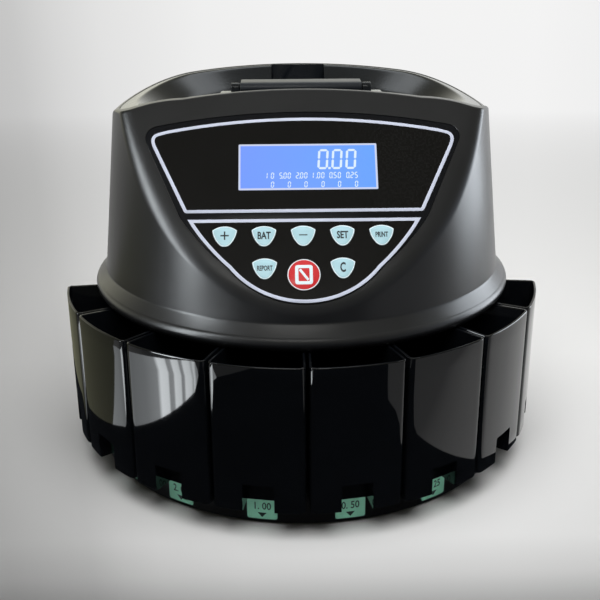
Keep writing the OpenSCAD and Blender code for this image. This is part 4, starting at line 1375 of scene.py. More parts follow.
@dataclass
class Display:
    """The lit window on the console with its segment digits."""

    stack: Stack
    film: Film
    lean: float = 0.07
    frame_w: float = 1.15

    def segment(self, letter: str, width: float, height: float, stroke: float) -> list[Point]:
        """Outline of one bar of a digit whose lower left corner is the origin.

        Args:
            letter: which bar, from a to g.
            width: width of the digit.
            height: height of the digit.
            stroke: width of the bar.

        Returns:
            The outline.
        """
        half, gap = height / 2, stroke * 0.12
        lying = {"a": height - stroke / 2, "g": half, "d": stroke / 2}
        if letter in lying:
            y, x0, x1 = lying[letter], stroke / 2 + gap, width - stroke / 2 - gap
            s = stroke / 2
            return [(x0, y), (x0 + s, y - s), (x1 - s, y - s), (x1, y), (x1 - s, y + s), (x0 + s, y + s)]
        x = stroke / 2 if letter in "ef" else width - stroke / 2
        y0, y1 = (half + gap, height - stroke / 2 - gap) if letter in "fb" else (stroke / 2 + gap, half - gap)
        s = stroke / 2
        return [(x, y0), (x + s, y0 + s), (x + s, y1 - s), (x, y1), (x - s, y1 - s), (x - s, y0 + s)]

    def number(
        self, text: str, right: float, base: float, width: float, height: float, pitch: float
    ) -> list[list[Point]]:
        """Outlines of a number that ends at a right edge.

        Args:
            text: digits and points.
            right: place of its right edge across the console.
            base: place of its foot up the console.
            width: width of a digit.
            height: height of a digit.
            pitch: distance from digit to digit.

        Returns:
            The outlines of its bars and points.
        """
        stroke = height * 0.105 if height > 8 else height * 0.13
        x = right - width - (len(text.replace(".", "")) - 1) * pitch
        bars: list[list[Point]] = []
        for letter in text:
            if letter == ".":
                dot_x = x - (pitch - width) / 2 - stroke / 2
                unit = ((0, 0), (1, 0), (1, 1), (0, 1))
                bars.append([(dot_x + a * stroke, base + b * stroke) for a, b in unit])
                continue
            for name in SEGMENTS[letter]:
                shape = self.segment(name, width, height, stroke)
                bars.append([(x + a + b * self.lean, base + b) for a, b in shape])
            x += pitch
        return bars

    def build(self) -> None:
        """Make the window, its printed edge and its digits."""
        place = self.stack.on_console
        top = self.film.top
        wide, tall = (v / 2 for v in self.film.window_size)
        middle = self.film.window_middle
        outer = rounded_box(middle, wide, tall, 0.7, 3)
        glass = Form().plate([outer], top - self.film.thick, top, 0.05, place)
        enrol(glass.build("display_window"), "main_unit", Finish.DISPLAY, "lcd_window")
        inner = box_corners(middle, wide - self.frame_w, tall - self.frame_w)
        edge = Form().plate([grown(outer, 0.1), inner], top, top + 0.06, 0.015, place)
        enrol(edge.build("display_edge"), "main_unit", Finish.DISPLAY_EDGE)
        bars = self.number("0.00", 34.4, 94.6, 7.0, 14.6, 9.2)
        rights = (-19.5, -8.5, 2.35, 13.5, 24.3, 35.4)
        for text, right in zip(("10", "5.00", "2.00", "1.00", "0.50", "0.25"), rights):
            bars += self.number(text, right, 88.0, 2.1, 4.5, 2.75)
            bars += self.number("0", right, 81.7, 2.1, 4.3, 2.75)
        digits = Form()
        for bar in bars:
            digits.plate([bar], top, top + 0.04, 0, place)
        enrol(digits.build("display_digits"), "main_unit", Finish.DIGITS)


@dataclass
class Keys:
    """The eight keys, each on its own body."""

    stack: Stack
    film: Film
    proud: float = 0.5
    low: float = -0.4
    names: tuple[str, ...] = ("plus", "bat", "minus", "set", "print", "report", "start_stop", "clear")
    legends: tuple[str, ...] = ("+", "BAT", "-", "SET", "PRINT", "REPORT", "", "C")

    def legend(self, i: int) -> Form:
        """Make a key's printed sign as a form.

        Args:
            i: the key's number.

        Returns:
            The form.
        """
        form = Form()
        place = self.stack.on_console
        x, s = self.film.key_spots()[i]
        text = self.legends[i]
        top = self.proud - 0.01
        bars = {"+": [(2.7, 0.5), (0.45, 2.9)], "-": [(2.7, 0.36)]}.get(text, [])
        for half_w, half_h in bars:
            form.plate([box_corners((x, s + 0.6), half_w, half_h)], top, top + 0.05, 0, place)
        if bars:
            return form
        if text:
            size, stretch = {1: (8.8, 0.60), 3: (6.9, 0.68), 5: (5.0, 0.60), 6: (4.7, 0.58)}[len(text)]
            form.words(text, size, (x, s + 0.2), 0.05, top, place, stretch, 0.03)
        else:
            square, hole = rounded_box((x, s), 5.6, 6.5, 1.9, 5), rounded_box((x, s), 3.5, 4.4, 0.6, 5)
            form.plate([square, hole], top, top + 0.06, 0.01, place)
            bar = [(x + a, s + b) for a, b in ((-3.2, 3.0), (-2.0, 4.1), (3.3, -3.0), (2.2, -4.2))]
            form.plate([bar], top, top + 0.06, 0.01, place)
        return form

    def build(self) -> None:
        """Make the caps, their edges and their signs."""
        place = self.stack.on_console
        for i, name in enumerate(self.names):
            x, s = self.film.key_spots()[i]
            body = f"key_{name}_cap"
            cap = Form().plate([self.film.key_outline(i, -0.42)], self.low, self.proud, 0.3, place)

            def under(p: Array, x: float = x, s: float = s) -> Array:
                """Set the stem under its key."""
                return place(p + [x, s, 0])

            cap.turned([(2.5, -6.2), (2.5, self.low + 0.1)], under, 20)
            finish = Finish.RED_KEY if i == 6 else Finish.KEY
            enrol(cap.build(f"key_cap_{name}"), body, finish, f"key_{name}")
            pair = [self.film.key_outline(i, -0.48), self.film.key_outline(i, -1.05)]
            edge = Form().plate(pair, self.proud - 0.22, self.proud + 0.03, 0.02, place)
            enrol(edge.build(f"key_edge_{name}"), body, Finish.KEY_EDGE)
            ink = Finish.KEY_EDGE if i == 6 else Finish.DARK_INK
            enrol(self.legend(i).build(f"key_sign_{name}"), body, ink)


# ---- Coin cups ----


@dataclass
class CupFan:
    """The eight pull-out coin cups, alike but for their place."""

    stack: Stack
    inner_r: float = 94.0
    wall: float = 1.8
    floor: float = 2.0
    gap: float = 1.0
    corner: float = 4.2
    inner_corner: float = 3.0
    pocket_w: float = 21.0
    pocket_d: float = 15.3
    pocket_h: float = 20.0
    rim: float = 0.7
    floor_sweep: float = 3.2

    def outline(self, inset: float, corner: float) -> list[Point]:
        """Plan of a cup that points along -Y, with its walls moved in by an inset.

        Args:
            inset: how far the outline lies inside the cup's own edge.
            corner: how far the rounding of a corner reaches.

        Returns:
            The outline.
        """
        half = math.radians(self.stack.cup_pitch / 2)
        side = self.gap + inset

        def edge(r: float) -> float:
            """Turn at which the side meets a circle."""
            return half - math.asin(side / r)

        r0, r1 = self.inner_r + inset, self.stack.cup_r - inset
        near_corner = max(corner - 1, 0.8)
        out: list[Point] = []
        for r, cut, way in ((r1, corner, 1), (r0, near_corner, -1)):
            full = edge(r)
            trim = full - cut / r
            out += [(r * math.sin(way * a), -r * math.cos(a)) for a in np.linspace(-trim, trim, 21)]
            tip = np.array([r * math.sin(way * full), -r * math.cos(full)])
            other_r, other_cut = (r0, near_corner) if way > 0 else (r1, corner)
            far = edge(other_r)
            other = np.array([other_r * math.sin(way * far), -other_r * math.cos(far)])
            along = (other - tip) / np.linalg.norm(other - tip)
            out += self.turned_corner(np.array(out[-1]), tip, tip + along * cut)
            after = far - other_cut / other_r
            stop = np.array([other_r * math.sin(way * after), -other_r * math.cos(after)])
            out += self.turned_corner(other - along * other_cut, other, stop)[:-1]
        return out

    @staticmethod
    def turned_corner(start: Array, tip: Array, stop: Array) -> list[Point]:
        """Points of a rounding from start to stop round a tip, without its first point."""
        steps = np.linspace(0, 1, 7)[1:]
        return [tuple(bend(start, tip, stop, t)) for t in steps]

    def levels(self, steps: Sequence[tuple[float, float, float]]) -> Array:
        """Rows of a form from its insets and heights."""
        return np.array([[(x, y, z) for x, y in self.outline(inset, corner)] for inset, z, corner in steps])

    def pocket(self, grow: float, reach: float) -> Form:
        """Form of the finger pocket, grown by a wall and reaching forwards and down."""
        w, top = self.pocket_w / 2 + grow, self.stack.cup_z + self.pocket_h + grow
        back, front = -(self.stack.cup_r - self.pocket_d - grow), -(self.stack.cup_r + reach)
        low = self.stack.cup_z - reach
        shape = rounded([(-w, low, 0), (w, low, 0), (w, top, 1.4 + grow / 2), (-w, top, 1.4 + grow / 2)], 4)
        return Form().plate([shape], front, back, 0.0, upright)

    def one(self) -> Piece:
        """Make a cup that points along -Y.

        Returns:
            The cup.
        """
        z0, z1 = self.stack.cup_z, self.stack.cup_top
        corner, rim = self.corner, self.rim
        outside = [(0.9, z0, corner - 0.6), (0.35, z0 + 0.25, corner), (0, z0 + 0.9, corner)]
        outside += [(0, z, corner) for z in np.linspace(z0 + 12, z1 - 12, 5)]
        outside += [(0, z1 - rim, corner), (0.07, z1 - rim * 0.5, corner), (0.3, z1 - 0.1, corner)]
        outside += [(rim, z1, corner)]
        cup = Form().skin(self.levels(outside), caps=True).build("cup_outside")
        wall, floor, inner = self.wall, z0 + self.floor, self.inner_corner
        sweep = self.floor_sweep
        hollow = [(wall + sweep, floor, inner)]
        for a in (0.5, 0.9, 1.25):
            hollow.append((wall + sweep * (1 - math.sin(a)), floor + sweep * (1 - math.cos(a)), inner))
        hollow += [(wall, floor + 3.6, inner), (wall, z1 - 0.8, inner), (wall - 0.15, z1 - 0.3, inner)]
        hollow += [(wall - 0.45, z1, inner), (wall - 0.45, z1 + 2, inner)]
        inside = Form().skin(self.levels(hollow), caps=True).build("cup_inside")
        carved(inside, [self.pocket(self.wall, 0.0).build("pocket_wall")])
        carved(cup, [inside, self.pocket(0, 4).build("pocket")], smooth=32)
        return cup

    def build(self) -> None:
        """Make the eight cups."""
        pattern = self.one()
        axis = Vector((0, self.stack.axis_y / 1000, 0))
        for k in range(1, 9):
            cup = linked(f"cup_shell_{k}", pattern.data.copy())
            turn = Matrix.Rotation(math.radians(self.stack.cup_angle(k)), 4, "Z")
            cup.data.transform(Matrix.Translation(axis) @ turn @ Matrix.Translation(-axis))
            enrol(cup, f"cup_{k}", Finish.CUP, f"coin_cup_{k}")
        bpy.data.objects.remove(pattern)


@dataclass
class BaseRing:
    """The round base under the cups with the value labels on its front."""

    stack: Stack
    radius: float = 160.0
    low: float = 2.0
    label_w: float = 20.5
    label_h: float = 15.0
    values: tuple[str, ...] = ("10", "5.00", "2.00", "1.00", "0.50", "0.25")
    turns: tuple[float, ...] = (0, -0.8, -1.6, -0.5, 0, 2.2)

    def build(self) -> None:
        """Make the tray and the labels."""
        enrol(copied("base_tray", "base_ring", 0.5, 50), "main_unit", Finish.BASE, "base_tray")
        middle = (self.low + self.stack.deck_z) / 2
        plates, signs = Form(), Form()
        for k, (value, turn) in enumerate(zip(self.values, self.turns), 1):
            place = self.stack.on_ring(self.stack.cup_angle(k) + turn, self.radius + 0.05, middle)
            shape = rounded_box((0, 0), self.label_w / 2, self.label_h / 2, 1.6, 5)
            plates.plate([shape], 0, 0.4, 0.08, place, seam=1.6)
            text = value.replace(".", ". ") if "." in value else value
            signs.words(text, 7.6, (0, 2.2), 0.05, 0.38, place, 0.82)
            arrow = [(-3.1, -2.6), (3.1, -2.6), (0.0, -6.1)]
            signs.plate([arrow], 0.38, 0.43, 0, place)
        enrol(plates.build("label_plates"), "main_unit", Finish.MINT, "value_labels")
        enrol(signs.build("label_signs"), "main_unit", Finish.GREEN_INK)


# ---- Hopper ----


@dataclass
class Hopper:
    """The bowl in the top, and its hinged flap with its lugs."""

    stack: Stack
    wall: float = 2.2
    outer_r: float = 130.54
    inner_r: float = 125.54
    drop: float = 0.4
    outlet_r: float = 70.0
    knee_r: float = 100.0
    knee_h: float = 123.2
    cone_drop: float = 3.0
    flange_r: float = 135.5
    notch_w: float = 44.5
    notch_h: float = 30.0
    ledge_w: float = 57.0
    knuckle_r: float = 4.1
    hinge_rise: float = 0.4
    flap_w: float = 85.4
    flap_l: float = 58.0
    flap_t: float = 2.5
    slope: float = 24.0
    bar_back: float = 16.0
    front_gap: float = 0.2
    shelf_gap: float = 0.6

    @property
    def front(self) -> float:
        """Distance from the fan axis to the bowl's flat front."""
        return self.stack.hopper_front - self.front_gap

    @property
    def shelf_top(self) -> float:
        """Height of the ledge over the hinge's axis."""
        return -self.knuckle_r - self.shelf_gap

    def columns(self) -> Array:
        """Angles of the bowl's columns."""
        front = np.arange(-80, 80.01, 1.0)
        rear = np.arange(81.5, 279, 1.5)
        return np.radians(np.concatenate([front, rear]))

    def bounded(self, turn: Array, r: Array, front: float, blend: float = 8) -> Array:
        """Keep a radius behind the bowl's flat front."""
        return soft_min(r + 0 * turn, plane_r(turn, front), blend)

    def ridge(self, turn: Array, out: float, drop: float) -> Array:
        """Radius at which the bowl's cone meets the land of its rim.

        Args:
            turn: angles of the columns.
            out: how far outside the bowl's inner surface.
            drop: how far below the land.

        Returns:
            The radius on each column.
        """
        rise = (self.stack.rim_h - self.cone_drop - self.knee_h) / (self.inner_r - self.knee_r)
        radius = self.inner_r * np.ones_like(turn)
        for _ in range(12):
            height = self.stack.rim_top(radius * np.sin(turn)) - self.drop - drop
            cone = self.knee_r + out + (height - self.knee_h + out / 2) / rise
            radius = 0.5 * radius + 0.5 * np.minimum(self.inner_r + out, cone)
        return radius

    def bowl(self) -> Piece:
        """Make the bowl as one closed skin, without its notch, ledge and lugs.

        Returns:
            The bowl's skin.
        """
        turn = self.columns()
        one = np.ones_like(turn)
        front, back = self.front, self.front - self.wall
        foot = self.stack.rail_top - self.stack.body_z
        out = self.wall
        rows: list[tuple[Array, Array]] = [(self.outlet_r * one, foot * one)]
        for r, h in ((self.flange_r - 0.5, foot), (self.flange_r, foot + 0.5), (self.flange_r, foot + 1.5)):
            rows.append((r * one, h * one))
        rows.append(((self.flange_r - 0.5) * one, (foot + 2) * one))
        rows.append((self.bounded(turn, (self.outlet_r + out) * one, front, 6), (foot + 2) * one))

        def between(low: Reach, high: Reach, steps: Sequence[float], flat: float) -> None:
            """Add rows on the way from one radius and height to another."""
            for t in steps:
                r = self.bounded(turn, (low[0] + (high[0] - low[0]) * t) * one, flat)
                rows.append((r, (low[1] + (high[1] - low[1]) * t) * one))

        def land(r: Array) -> Array:
            """Height of the rim's land at a radius."""
            return self.stack.rim_top(r * np.sin(turn)) - self.drop

        under = self.bounded(turn, self.ridge(turn, out, 3), front)
        knee_out = (self.knee_r + out, self.knee_h - out / 2)
        between((self.outlet_r + out, foot + 8), knee_out, np.linspace(0, 1, 12)[:-1], front)
        between(knee_out, (under, land(under) - 3), np.linspace(0, 1, 6), front)
        outer = self.bounded(turn, self.outer_r * one, front)
        rows += [(outer, land(outer) - 3), (outer, land(outer) - 0.5), (outer - 0.4, land(outer - 0.4))]
        inner = self.bounded(turn, self.ridge(turn, 0, 0), back)
        for t in (0.25, 0.5, 0.75):
            r = outer + (inner + 2 - outer) * t
            rows.append((r, land(r)))
        near = inner * 0.93 + np.minimum(inner, self.knee_r) * 0.07
        dip = land(inner) * 0.93 + self.knee_h * 0.07
        for t in np.linspace(0, 1, 6):
            rows.append((bend(inner + 2, inner, near, t), bend(land(inner + 2), land(inner), dip, t)))
        knee, top = (self.knee_r, self.knee_h), (self.ridge(turn, 0, 0), land(inner))
        between(top, knee, (0.12, 0.2, 0.35, 0.5, 0.65, 0.72), back)
        fall = (self.outlet_r - self.knee_r, foot + 8 - self.knee_h)
        turned_r, turned_h = self.knee_r + fall[0] * 0.12, self.knee_h + fall[1] * 0.12
        start_r, start_h = (0.28 * v + 0.72 * w for v, w in zip(top, knee))
        for t in np.linspace(0, 1, 9)[1:]:
            r, h = bend(start_r, self.knee_r, turned_r, t), bend(start_h, self.knee_h, turned_h, t)
            rows.append((self.bounded(turn, r * one, back), h * one))
        between((turned_r, turned_h), (self.outlet_r, foot + 8), np.linspace(0, 1, 10)[1:], back)
        for h in (foot + 5, foot + 2):
            rows.append((self.bounded(turn, self.outlet_r * one, back), h * one))
        radii, heights = (np.array(v) for v in zip(*rows))
        skin = revolved(turn, radii, heights, self.stack.body_z)
        return Form().skin(skin, ring=True).build("hopper_shell", 35)

    def cavity(self) -> Piece:
        """Form of the space inside the bowl, as a ring."""
        foot = self.stack.rail_top - self.stack.body_z
        top = self.stack.rim_h - self.cone_drop
        outline = [
            (60.0, foot + 9), (self.outlet_r, foot + 9), (self.knee_r, self.knee_h), (self.inner_r, top),
            (self.inner_r, top + 30), (60.0, top + 30),
        ]
        turn = np.radians(np.arange(0, 360, 1.5))
        skin = [revolved(turn, r, 0 * turn + h, self.stack.body_z) for r, h in outline]
        return Form().skin(np.array(skin), ring=True).build("cavity")

    def notch_cutter(self) -> Piece:
        """Form of the notch in the bowl's rear wall."""
        w = self.notch_w / 2
        base = self.stack.body_z + self.stack.rim_h
        low, high = base - self.notch_h, base + 20
        shape = rounded([(-w, low, 1.8), (w, low, 1.8), (w, high, 0), (-w, high, 0)], 4)
        return Form().plate([shape], 60, self.inner_r + 2, 0, upright).build("notch")

    def notch_block(self) -> Piece:
        """Form of the walls behind the notch.

        Returns:
            The walls as one object.
        """
        w = self.notch_w / 2 + 2
        base = self.stack.body_z + self.stack.rim_h
        turns = np.linspace(-0.17, 0.17, 17)
        back = [(self.outer_r * math.sin(a), self.outer_r * math.cos(a)) for a in turns]
        back = [(x, y) for x, y in back if abs(x) < w - 0.2]
        side = math.sqrt(self.outer_r**2 - w * w)
        outline = [(-w, 88.0), (-w, side), *back, (w, side), (w, 88.0)]
        low, high = base - self.notch_h - 2, base - self.drop - 0.15
        block = Form().plate([outline], low, high, 0.0, lambda p: p).build("notch_block")
        return carved(block, [self.cavity()])

    def side_place(self, x: float) -> Placing:
        """Stand a side view, given as back and up from the hinge, at a place across."""
        hinge_y = -self.stack.hinge_y
        hinge_z = self.stack.body_z + self.stack.rim_h + self.hinge_rise

        def place(p: Array) -> Array:
            """Place the side view."""
            return np.stack([x + p[:, 2], hinge_y + p[:, 0], hinge_z + p[:, 1]], axis=1)

        return place

    def ledge(self) -> Piece:
        """Make the shelf behind the lip with its lugs and pads."""
        top = self.shelf_top
        form = Form()
        front = -(self.front - self.stack.hinge_y)
        shelf = rounded([(front, top - 2.4, 0), (7, top - 2.4, 1), (7, top, 1), (front, top, 0)], 3)
        form.plate([shelf], -self.ledge_w, self.ledge_w, 0.4, self.side_place(0))
        return form.build("ledge")

    def lug(self, side: int) -> Form:
        """Make one lug with its pad, on the right for 1 and on the left for -1.

        Args:
            side: 1 for the right, -1 for the left.

        Returns:
            The lug's form.
        """
        form = Form()
        top = self.shelf_top
        inner = self.flap_w / 2 + 0.6
        r = self.knuckle_r - 0.3
        shape = arc((0, 0), r, 0, 180, 18)
        shape += [(-r - 0.6, top + 1.4), (-r - 2.2, top - 0.8), (r + 2.2, top - 0.8), (r + 0.6, top + 1.4)]
        x0, x1 = sorted((side * inner, side * (inner + 6)))
        form.plate([shape, arc((0, 0), 1.85, 0, 345, 23)], x0, x1, 0.5, self.side_place(0))
        return form

    def pad(self, side: int) -> Form:
        """Make the raised pad under one lug."""
        inner = self.flap_w / 2 + 2.2
        top = self.shelf_top
        x0, x1 = sorted((side * (inner - 1), side * self.ledge_w))

        def place(p: Array) -> Array:
            """Lay the pad on the ledge."""
            return self.side_place(0)(np.stack([p[:, 1], p[:, 2], p[:, 0]], axis=1))

        outline = rounded([(x0, -8, 2.4), (x1, -8, 2.4), (x1, 6, 2.4), (x0, 6, 2.4)], 4)
        return Form().plate([outline], top - 0.9, top + 2.2, 0.7, place)

    def flap(self) -> Piece:
        """Make the flap as one moulding from its side view."""
        c, s = math.cos(math.radians(self.slope)), math.sin(math.radians(self.slope))
        k, back = self.knuckle_r, self.bar_back
        tip = (back + self.flap_l * c, k - self.flap_l * s)
        under = (tip[0] - self.flap_t * s, tip[1] - self.flap_t * c)
        outline = rounded([
            (0, k, 0), (back, k, 1.5), (*tip, 0.9), (*under, 0.9), (18.84, 0.1, 2.0), (4.3, 0.1, 0.6),
        ], 5)
        outline += arc((0, 0), k, -6, -270, 30)[:-1]
        half = self.flap_w / 2
        return Form().plate([outline], -half, half, 0.45, self.side_place(0)).build("flap_plate")

    def build(self) -> None:
        """Make the hopper's pieces."""
        bowl = self.bowl()
        carved(bowl, [self.notch_block(), self.ledge()], Cut.JOIN)
        carved(bowl, [self.pad(1).build("pad"), self.pad(-1).build("pad")], Cut.JOIN)
        carved(bowl, [self.lug(1).build("lug"), self.lug(-1).build("lug")], Cut.JOIN)
        carved(bowl, [self.notch_cutter()], Cut.AWAY)
        softened(bowl, 0.8, 2, 60)
        enrol(bowl, "main_unit", Finish.BOWL, "hopper_bowl")
        enrol(self.flap(), "flap", Finish.FLAP, "hopper_flap")


# ---- Screws, feet, rotor and the pieces behind ----


def islands(node: str) -> list[Array]:
    """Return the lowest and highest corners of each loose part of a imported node, in metres.

    Args:
        node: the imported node.

    Returns:
        One array of two corners for each part.
    """
    mesh = bmesh.new()
    mesh.from_mesh(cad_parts[node].data)
    bmesh.ops.remove_doubles(mesh, verts=mesh.verts, dist=1e-6)
    boxes, seen = [], set()
    for start in mesh.verts:
        if start in seen:
            continue
        part, queue = [], [start]
        seen.add(start)
        while queue:
            vert = queue.pop()
            part.append(vert.co[:])
            for edge in vert.link_edges:
                other = edge.other_vert(vert)
                if other not in seen:
                    seen.add(other)
                    queue.append(other)
        boxes.append(np.array([np.min(part, axis=0), np.max(part, axis=0)]))
    mesh.free()
    return boxes


@dataclass
class Fasteners:
    """Pan-head screws with a cross recess and a ridged shank."""

    head_h: float = 1.6
    recess: float = 1.0
    pitch: float = 1.1
    spacing: float = 1.02
    dome: float = 0.26
    thread: float = 0.24
    shank: float = 0.49
    groups: dict[str, tuple[int, int, Finish]] = field(default_factory=lambda: {
        "base_screws": (2, -1, Finish.STEEL),
        "panel_screws": (1, 1, Finish.BLACK_STEEL),
        "deck_screws": (2, -1, Finish.STEEL),
    })

    def pattern(self, name: str, head_r: float, shank_r: float, length: float, turn: float) -> Pattern:
        """Return the tree for one group of screws, with the head below and the shank above its place.

        Args:
            name: the tree's name.
            head_r: radius of the head, in metres.
            shank_r: radius of the shank, in metres.
            length: length of the shank, in metres.
            turn: turn about X that lays the screw down, in radians.

        Returns:
            The tree.
        """
        tree = Pattern(
            name,
            head_r=head_r,
            head_h=self.head_h / 1000,
            shank_r=shank_r,
            length=length,
            recess=self.recess / 1000,
            pitch=self.pitch / 1000,
            turn=turn,
        )
        wide, deep, pitch = tree["head_r"], tree["head_h"], tree["pitch"]
        low = tree.at(z=deep * -1.0)
        head = tree.moved(tree.drum(wide, deep, 32, 6), low)
        head = tree.shaped(head, lambda z: 1.0 - self.dome * (z / deep * -1.0) ** 4)
        slots = [
            tree.moved(tree.block(wide * a, wide * b, tree["recess"] * 2), low)
            for a, b in ((1.15, 0.24), (0.24, 1.15))
        ]
        head = tree.cut(head, *slots)
        core = tree.drum(tree["shank_r"] * 0.8, tree["length"], 16)
        ridge = tree.shaped(
            tree.drum(tree["shank_r"], pitch, 16, 2),
            lambda z: 1.0 - self.thread * tree.maths("ABSOLUTE", z / (pitch * 0.5) - 1.0),
        )
        step = pitch * self.spacing
        count = tree.maths("FLOOR", (tree["length"] - pitch) / step)
        inputs = {"Count": count, "Offset": tree.at(z=step)}
        line = tree.make("GeometryNodeMeshLine", {"mode": "OFFSET"}, inputs)
        screw = tree.joined(head, core, tree.spread(ridge, line))
        tree.end(tree.spread(screw, tree["Places"], tree.at(x=tree["turn"])))
        return tree

    def build(self) -> None:
        """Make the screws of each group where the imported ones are."""
        head_h = self.head_h / 1000
        for node, (axis, side, finish) in self.groups.items():
            boxes = islands(node)
            low, high = boxes[0]
            size = high - low
            across = [i for i in range(3) if i != axis]
            places = []
            for low, high in boxes:
                place = (low + high) / 2
                place[axis] = low[axis] + head_h if side < 0 else high[axis] - head_h
                places.append(place)
            head_r = float(size[across[0]]) / 2
            turn = 0.0 if axis == 2 else math.pi / 2
            length = float(size[axis]) - head_h
            tree = self.pattern(node + "_pattern", head_r, head_r * self.shank, length, turn)
            enrol(tree.run(node + "_set", np.array(places), finish), "main_unit", finish, node)


@dataclass
class Feet:
    """Rubber feet with a dished sole and a plug that holds each in the base plate."""

    sole: float = 0.9
    taper: float = 0.07
    dish_share: float = 0.55
    plug_share: float = 0.5

    def build(self) -> None:
        """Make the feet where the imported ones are."""
        boxes = islands("rubber_feet")
        low, high = boxes[0]
        radius, height = float(high[0] - low[0]) / 2, float(high[2] - low[2])
        stand = float(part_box("base_plate")[0][2] - low[2])
        tree = Pattern("foot_pattern", radius=radius, lift=stand, height=height, sole=self.sole / 1000)
        lift, sole = tree["lift"], tree["sole"]
        pad = tree.drum(tree["radius"], lift, 48, 8)
        pad = tree.shaped(pad, lambda z: 1.0 - self.taper * (1.0 - z / lift) ** 4)
        dish = tree.moved(tree.drum(tree["radius"] * self.dish_share, sole * 2, 40), tree.at(z=sole * -1.0))
        plug = tree.drum(tree["radius"] * self.plug_share, tree["height"], 32)
        foot = tree.union(tree.cut(pad, dish), plug)
        tree.end(tree.spread(foot, tree["Places"]))
        places = np.array([[*((low + high) / 2)[:2], low[2]] for low, high in boxes])
        enrol(tree.run("feet_set", places, Finish.RUBBER), "main_unit", Finish.RUBBER, "rubber_feet")


@dataclass
class Rotor:
    """The wheel that carries the coins round, with arms about a hub."""

    hub_r: float = 24.0
    arm_w: float = 6.0
    arm_h: float = 5.0
    arms: int = 10
    bore_gap: float = 0.1
    dome: float = 0.16

    def build(self) -> None:
        """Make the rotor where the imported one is."""
        low, high = (np.array(corner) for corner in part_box("sorting_rotor"))
        half = math.pi / self.arms
        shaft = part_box("rotor_shaft")
        side = (float(high[0] - low[0]) / 2 - self.arm_w / 2000 * math.sin(half)) / math.cos(half)
        tree = Pattern(
            "rotor_pattern",
            hub_r=self.hub_r / 1000,
            hub_h=float(high[2] - low[2]),
            arm_w=self.arm_w / 1000,
            arm_h=self.arm_h / 1000,
            reach=side,
            bore_r=float(shaft[1][0] - shaft[0][0]) / 2 + self.bore_gap / 1000,
            arms=self.arms,
        )
        reach, arm_w, arm_h, hub_h = (tree[name] for name in ("reach", "arm_w", "arm_h", "hub_h"))
        hub = tree.drum(tree["hub_r"], hub_h, 64, 8)
        hub = tree.shaped(hub, lambda z: 1.0 - self.dome * (z / hub_h) ** 6)
        arm = tree.moved(tree.block(reach, arm_w, arm_h), tree.at(x=reach * 0.5, z=arm_h * 0.5))
        ring = tree.make("GeometryNodeMeshCircle", None, {"Vertices": tree["arms"], "Radius": 0.0001})
        index = tree.make("GeometryNodeInputIndex")
        turned = tree.at(z=(index + 0.5) * (2 * math.pi) / tree["arms"])
        spokes = tree.spread(arm, ring, turned)
        arms = tree.make("GeometryNodeRealizeInstances", None, {"Geometry": spokes})
        bore = tree.moved(tree.drum(tree["bore_r"], hub_h * 2, 32), tree.at(z=hub_h * -0.5))
        tree.end(tree.spread(tree.cut(tree.union(hub, arms), bore), tree["Places"]))
        place = np.array([[*((low + high) / 2)[:2], low[2]]])
        rotor = tree.run("rotor_wheel", place, Finish.GREY)
        softened(rotor, 0.4, 2)
        enrol(rotor, "rotor", Finish.GREY, "sorting_rotor")


@dataclass
class Inside:
    """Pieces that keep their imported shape: copied and rounded where they show, else only dressed."""

    rounded_nodes: dict[str, tuple[str, Finish, float, str]] = field(default_factory=lambda: {
        "rear_housing": ("rear_shell", Finish.BASE, 0.5, "main_unit"),
        "rear_panel": ("rear_plate", Finish.GREY, 0.4, "main_unit"),
        "power_inlet": ("inlet_socket", Finish.CUP, 0.35, "main_unit"),
        "switch_frame": ("switch_bezel", Finish.CUP, 0.35, "main_unit"),
        "switch_rocker": ("rocker_cap", Finish.BASE, 0.4, "rocker"),
        "display_jack": ("jack_socket", Finish.GREY, 0.25, "main_unit"),
        "drive_motor": ("motor_can", Finish.STEEL, 0.6, "main_unit"),
    })
    finishes: dict[Finish, tuple[str, ...]] = field(default_factory=lambda: {
        Finish.BASE: ("base_plate",),
        Finish.RUBBER: ("drive_belt",),
        Finish.STEEL: (
            "inlet_pins", "printer_port", "rotor_shaft", "rotor_nut", "upper_bearing", "lower_bearing",
            "motor_shaft", "motor_mount", "transformer", "guide_rail",
        ),
        Finish.BLACK_STEEL: ("hinge_rod",),
        Finish.TRACK: ("coin_track",),
        Finish.GREY: ("bearing_housing",),
        Finish.SHELL: ("mechanism_deck", "driven_pulley", "motor_pulley"),
        Finish.BOARD: ("coin_sensors", "main_board", "lcd_module", "keypad_board"),
    })

    def build(self) -> None:
        """Round the edges of the pieces that show from behind, and dress the rest."""
        for node, (name, finish, width, body) in self.rounded_nodes.items():
            enrol(copied(node, name, width, 50), body, finish, node)
        for finish, nodes in self.finishes.items():
            for node in nodes:
                dress(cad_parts[node], finish)


# ---- Studio ----


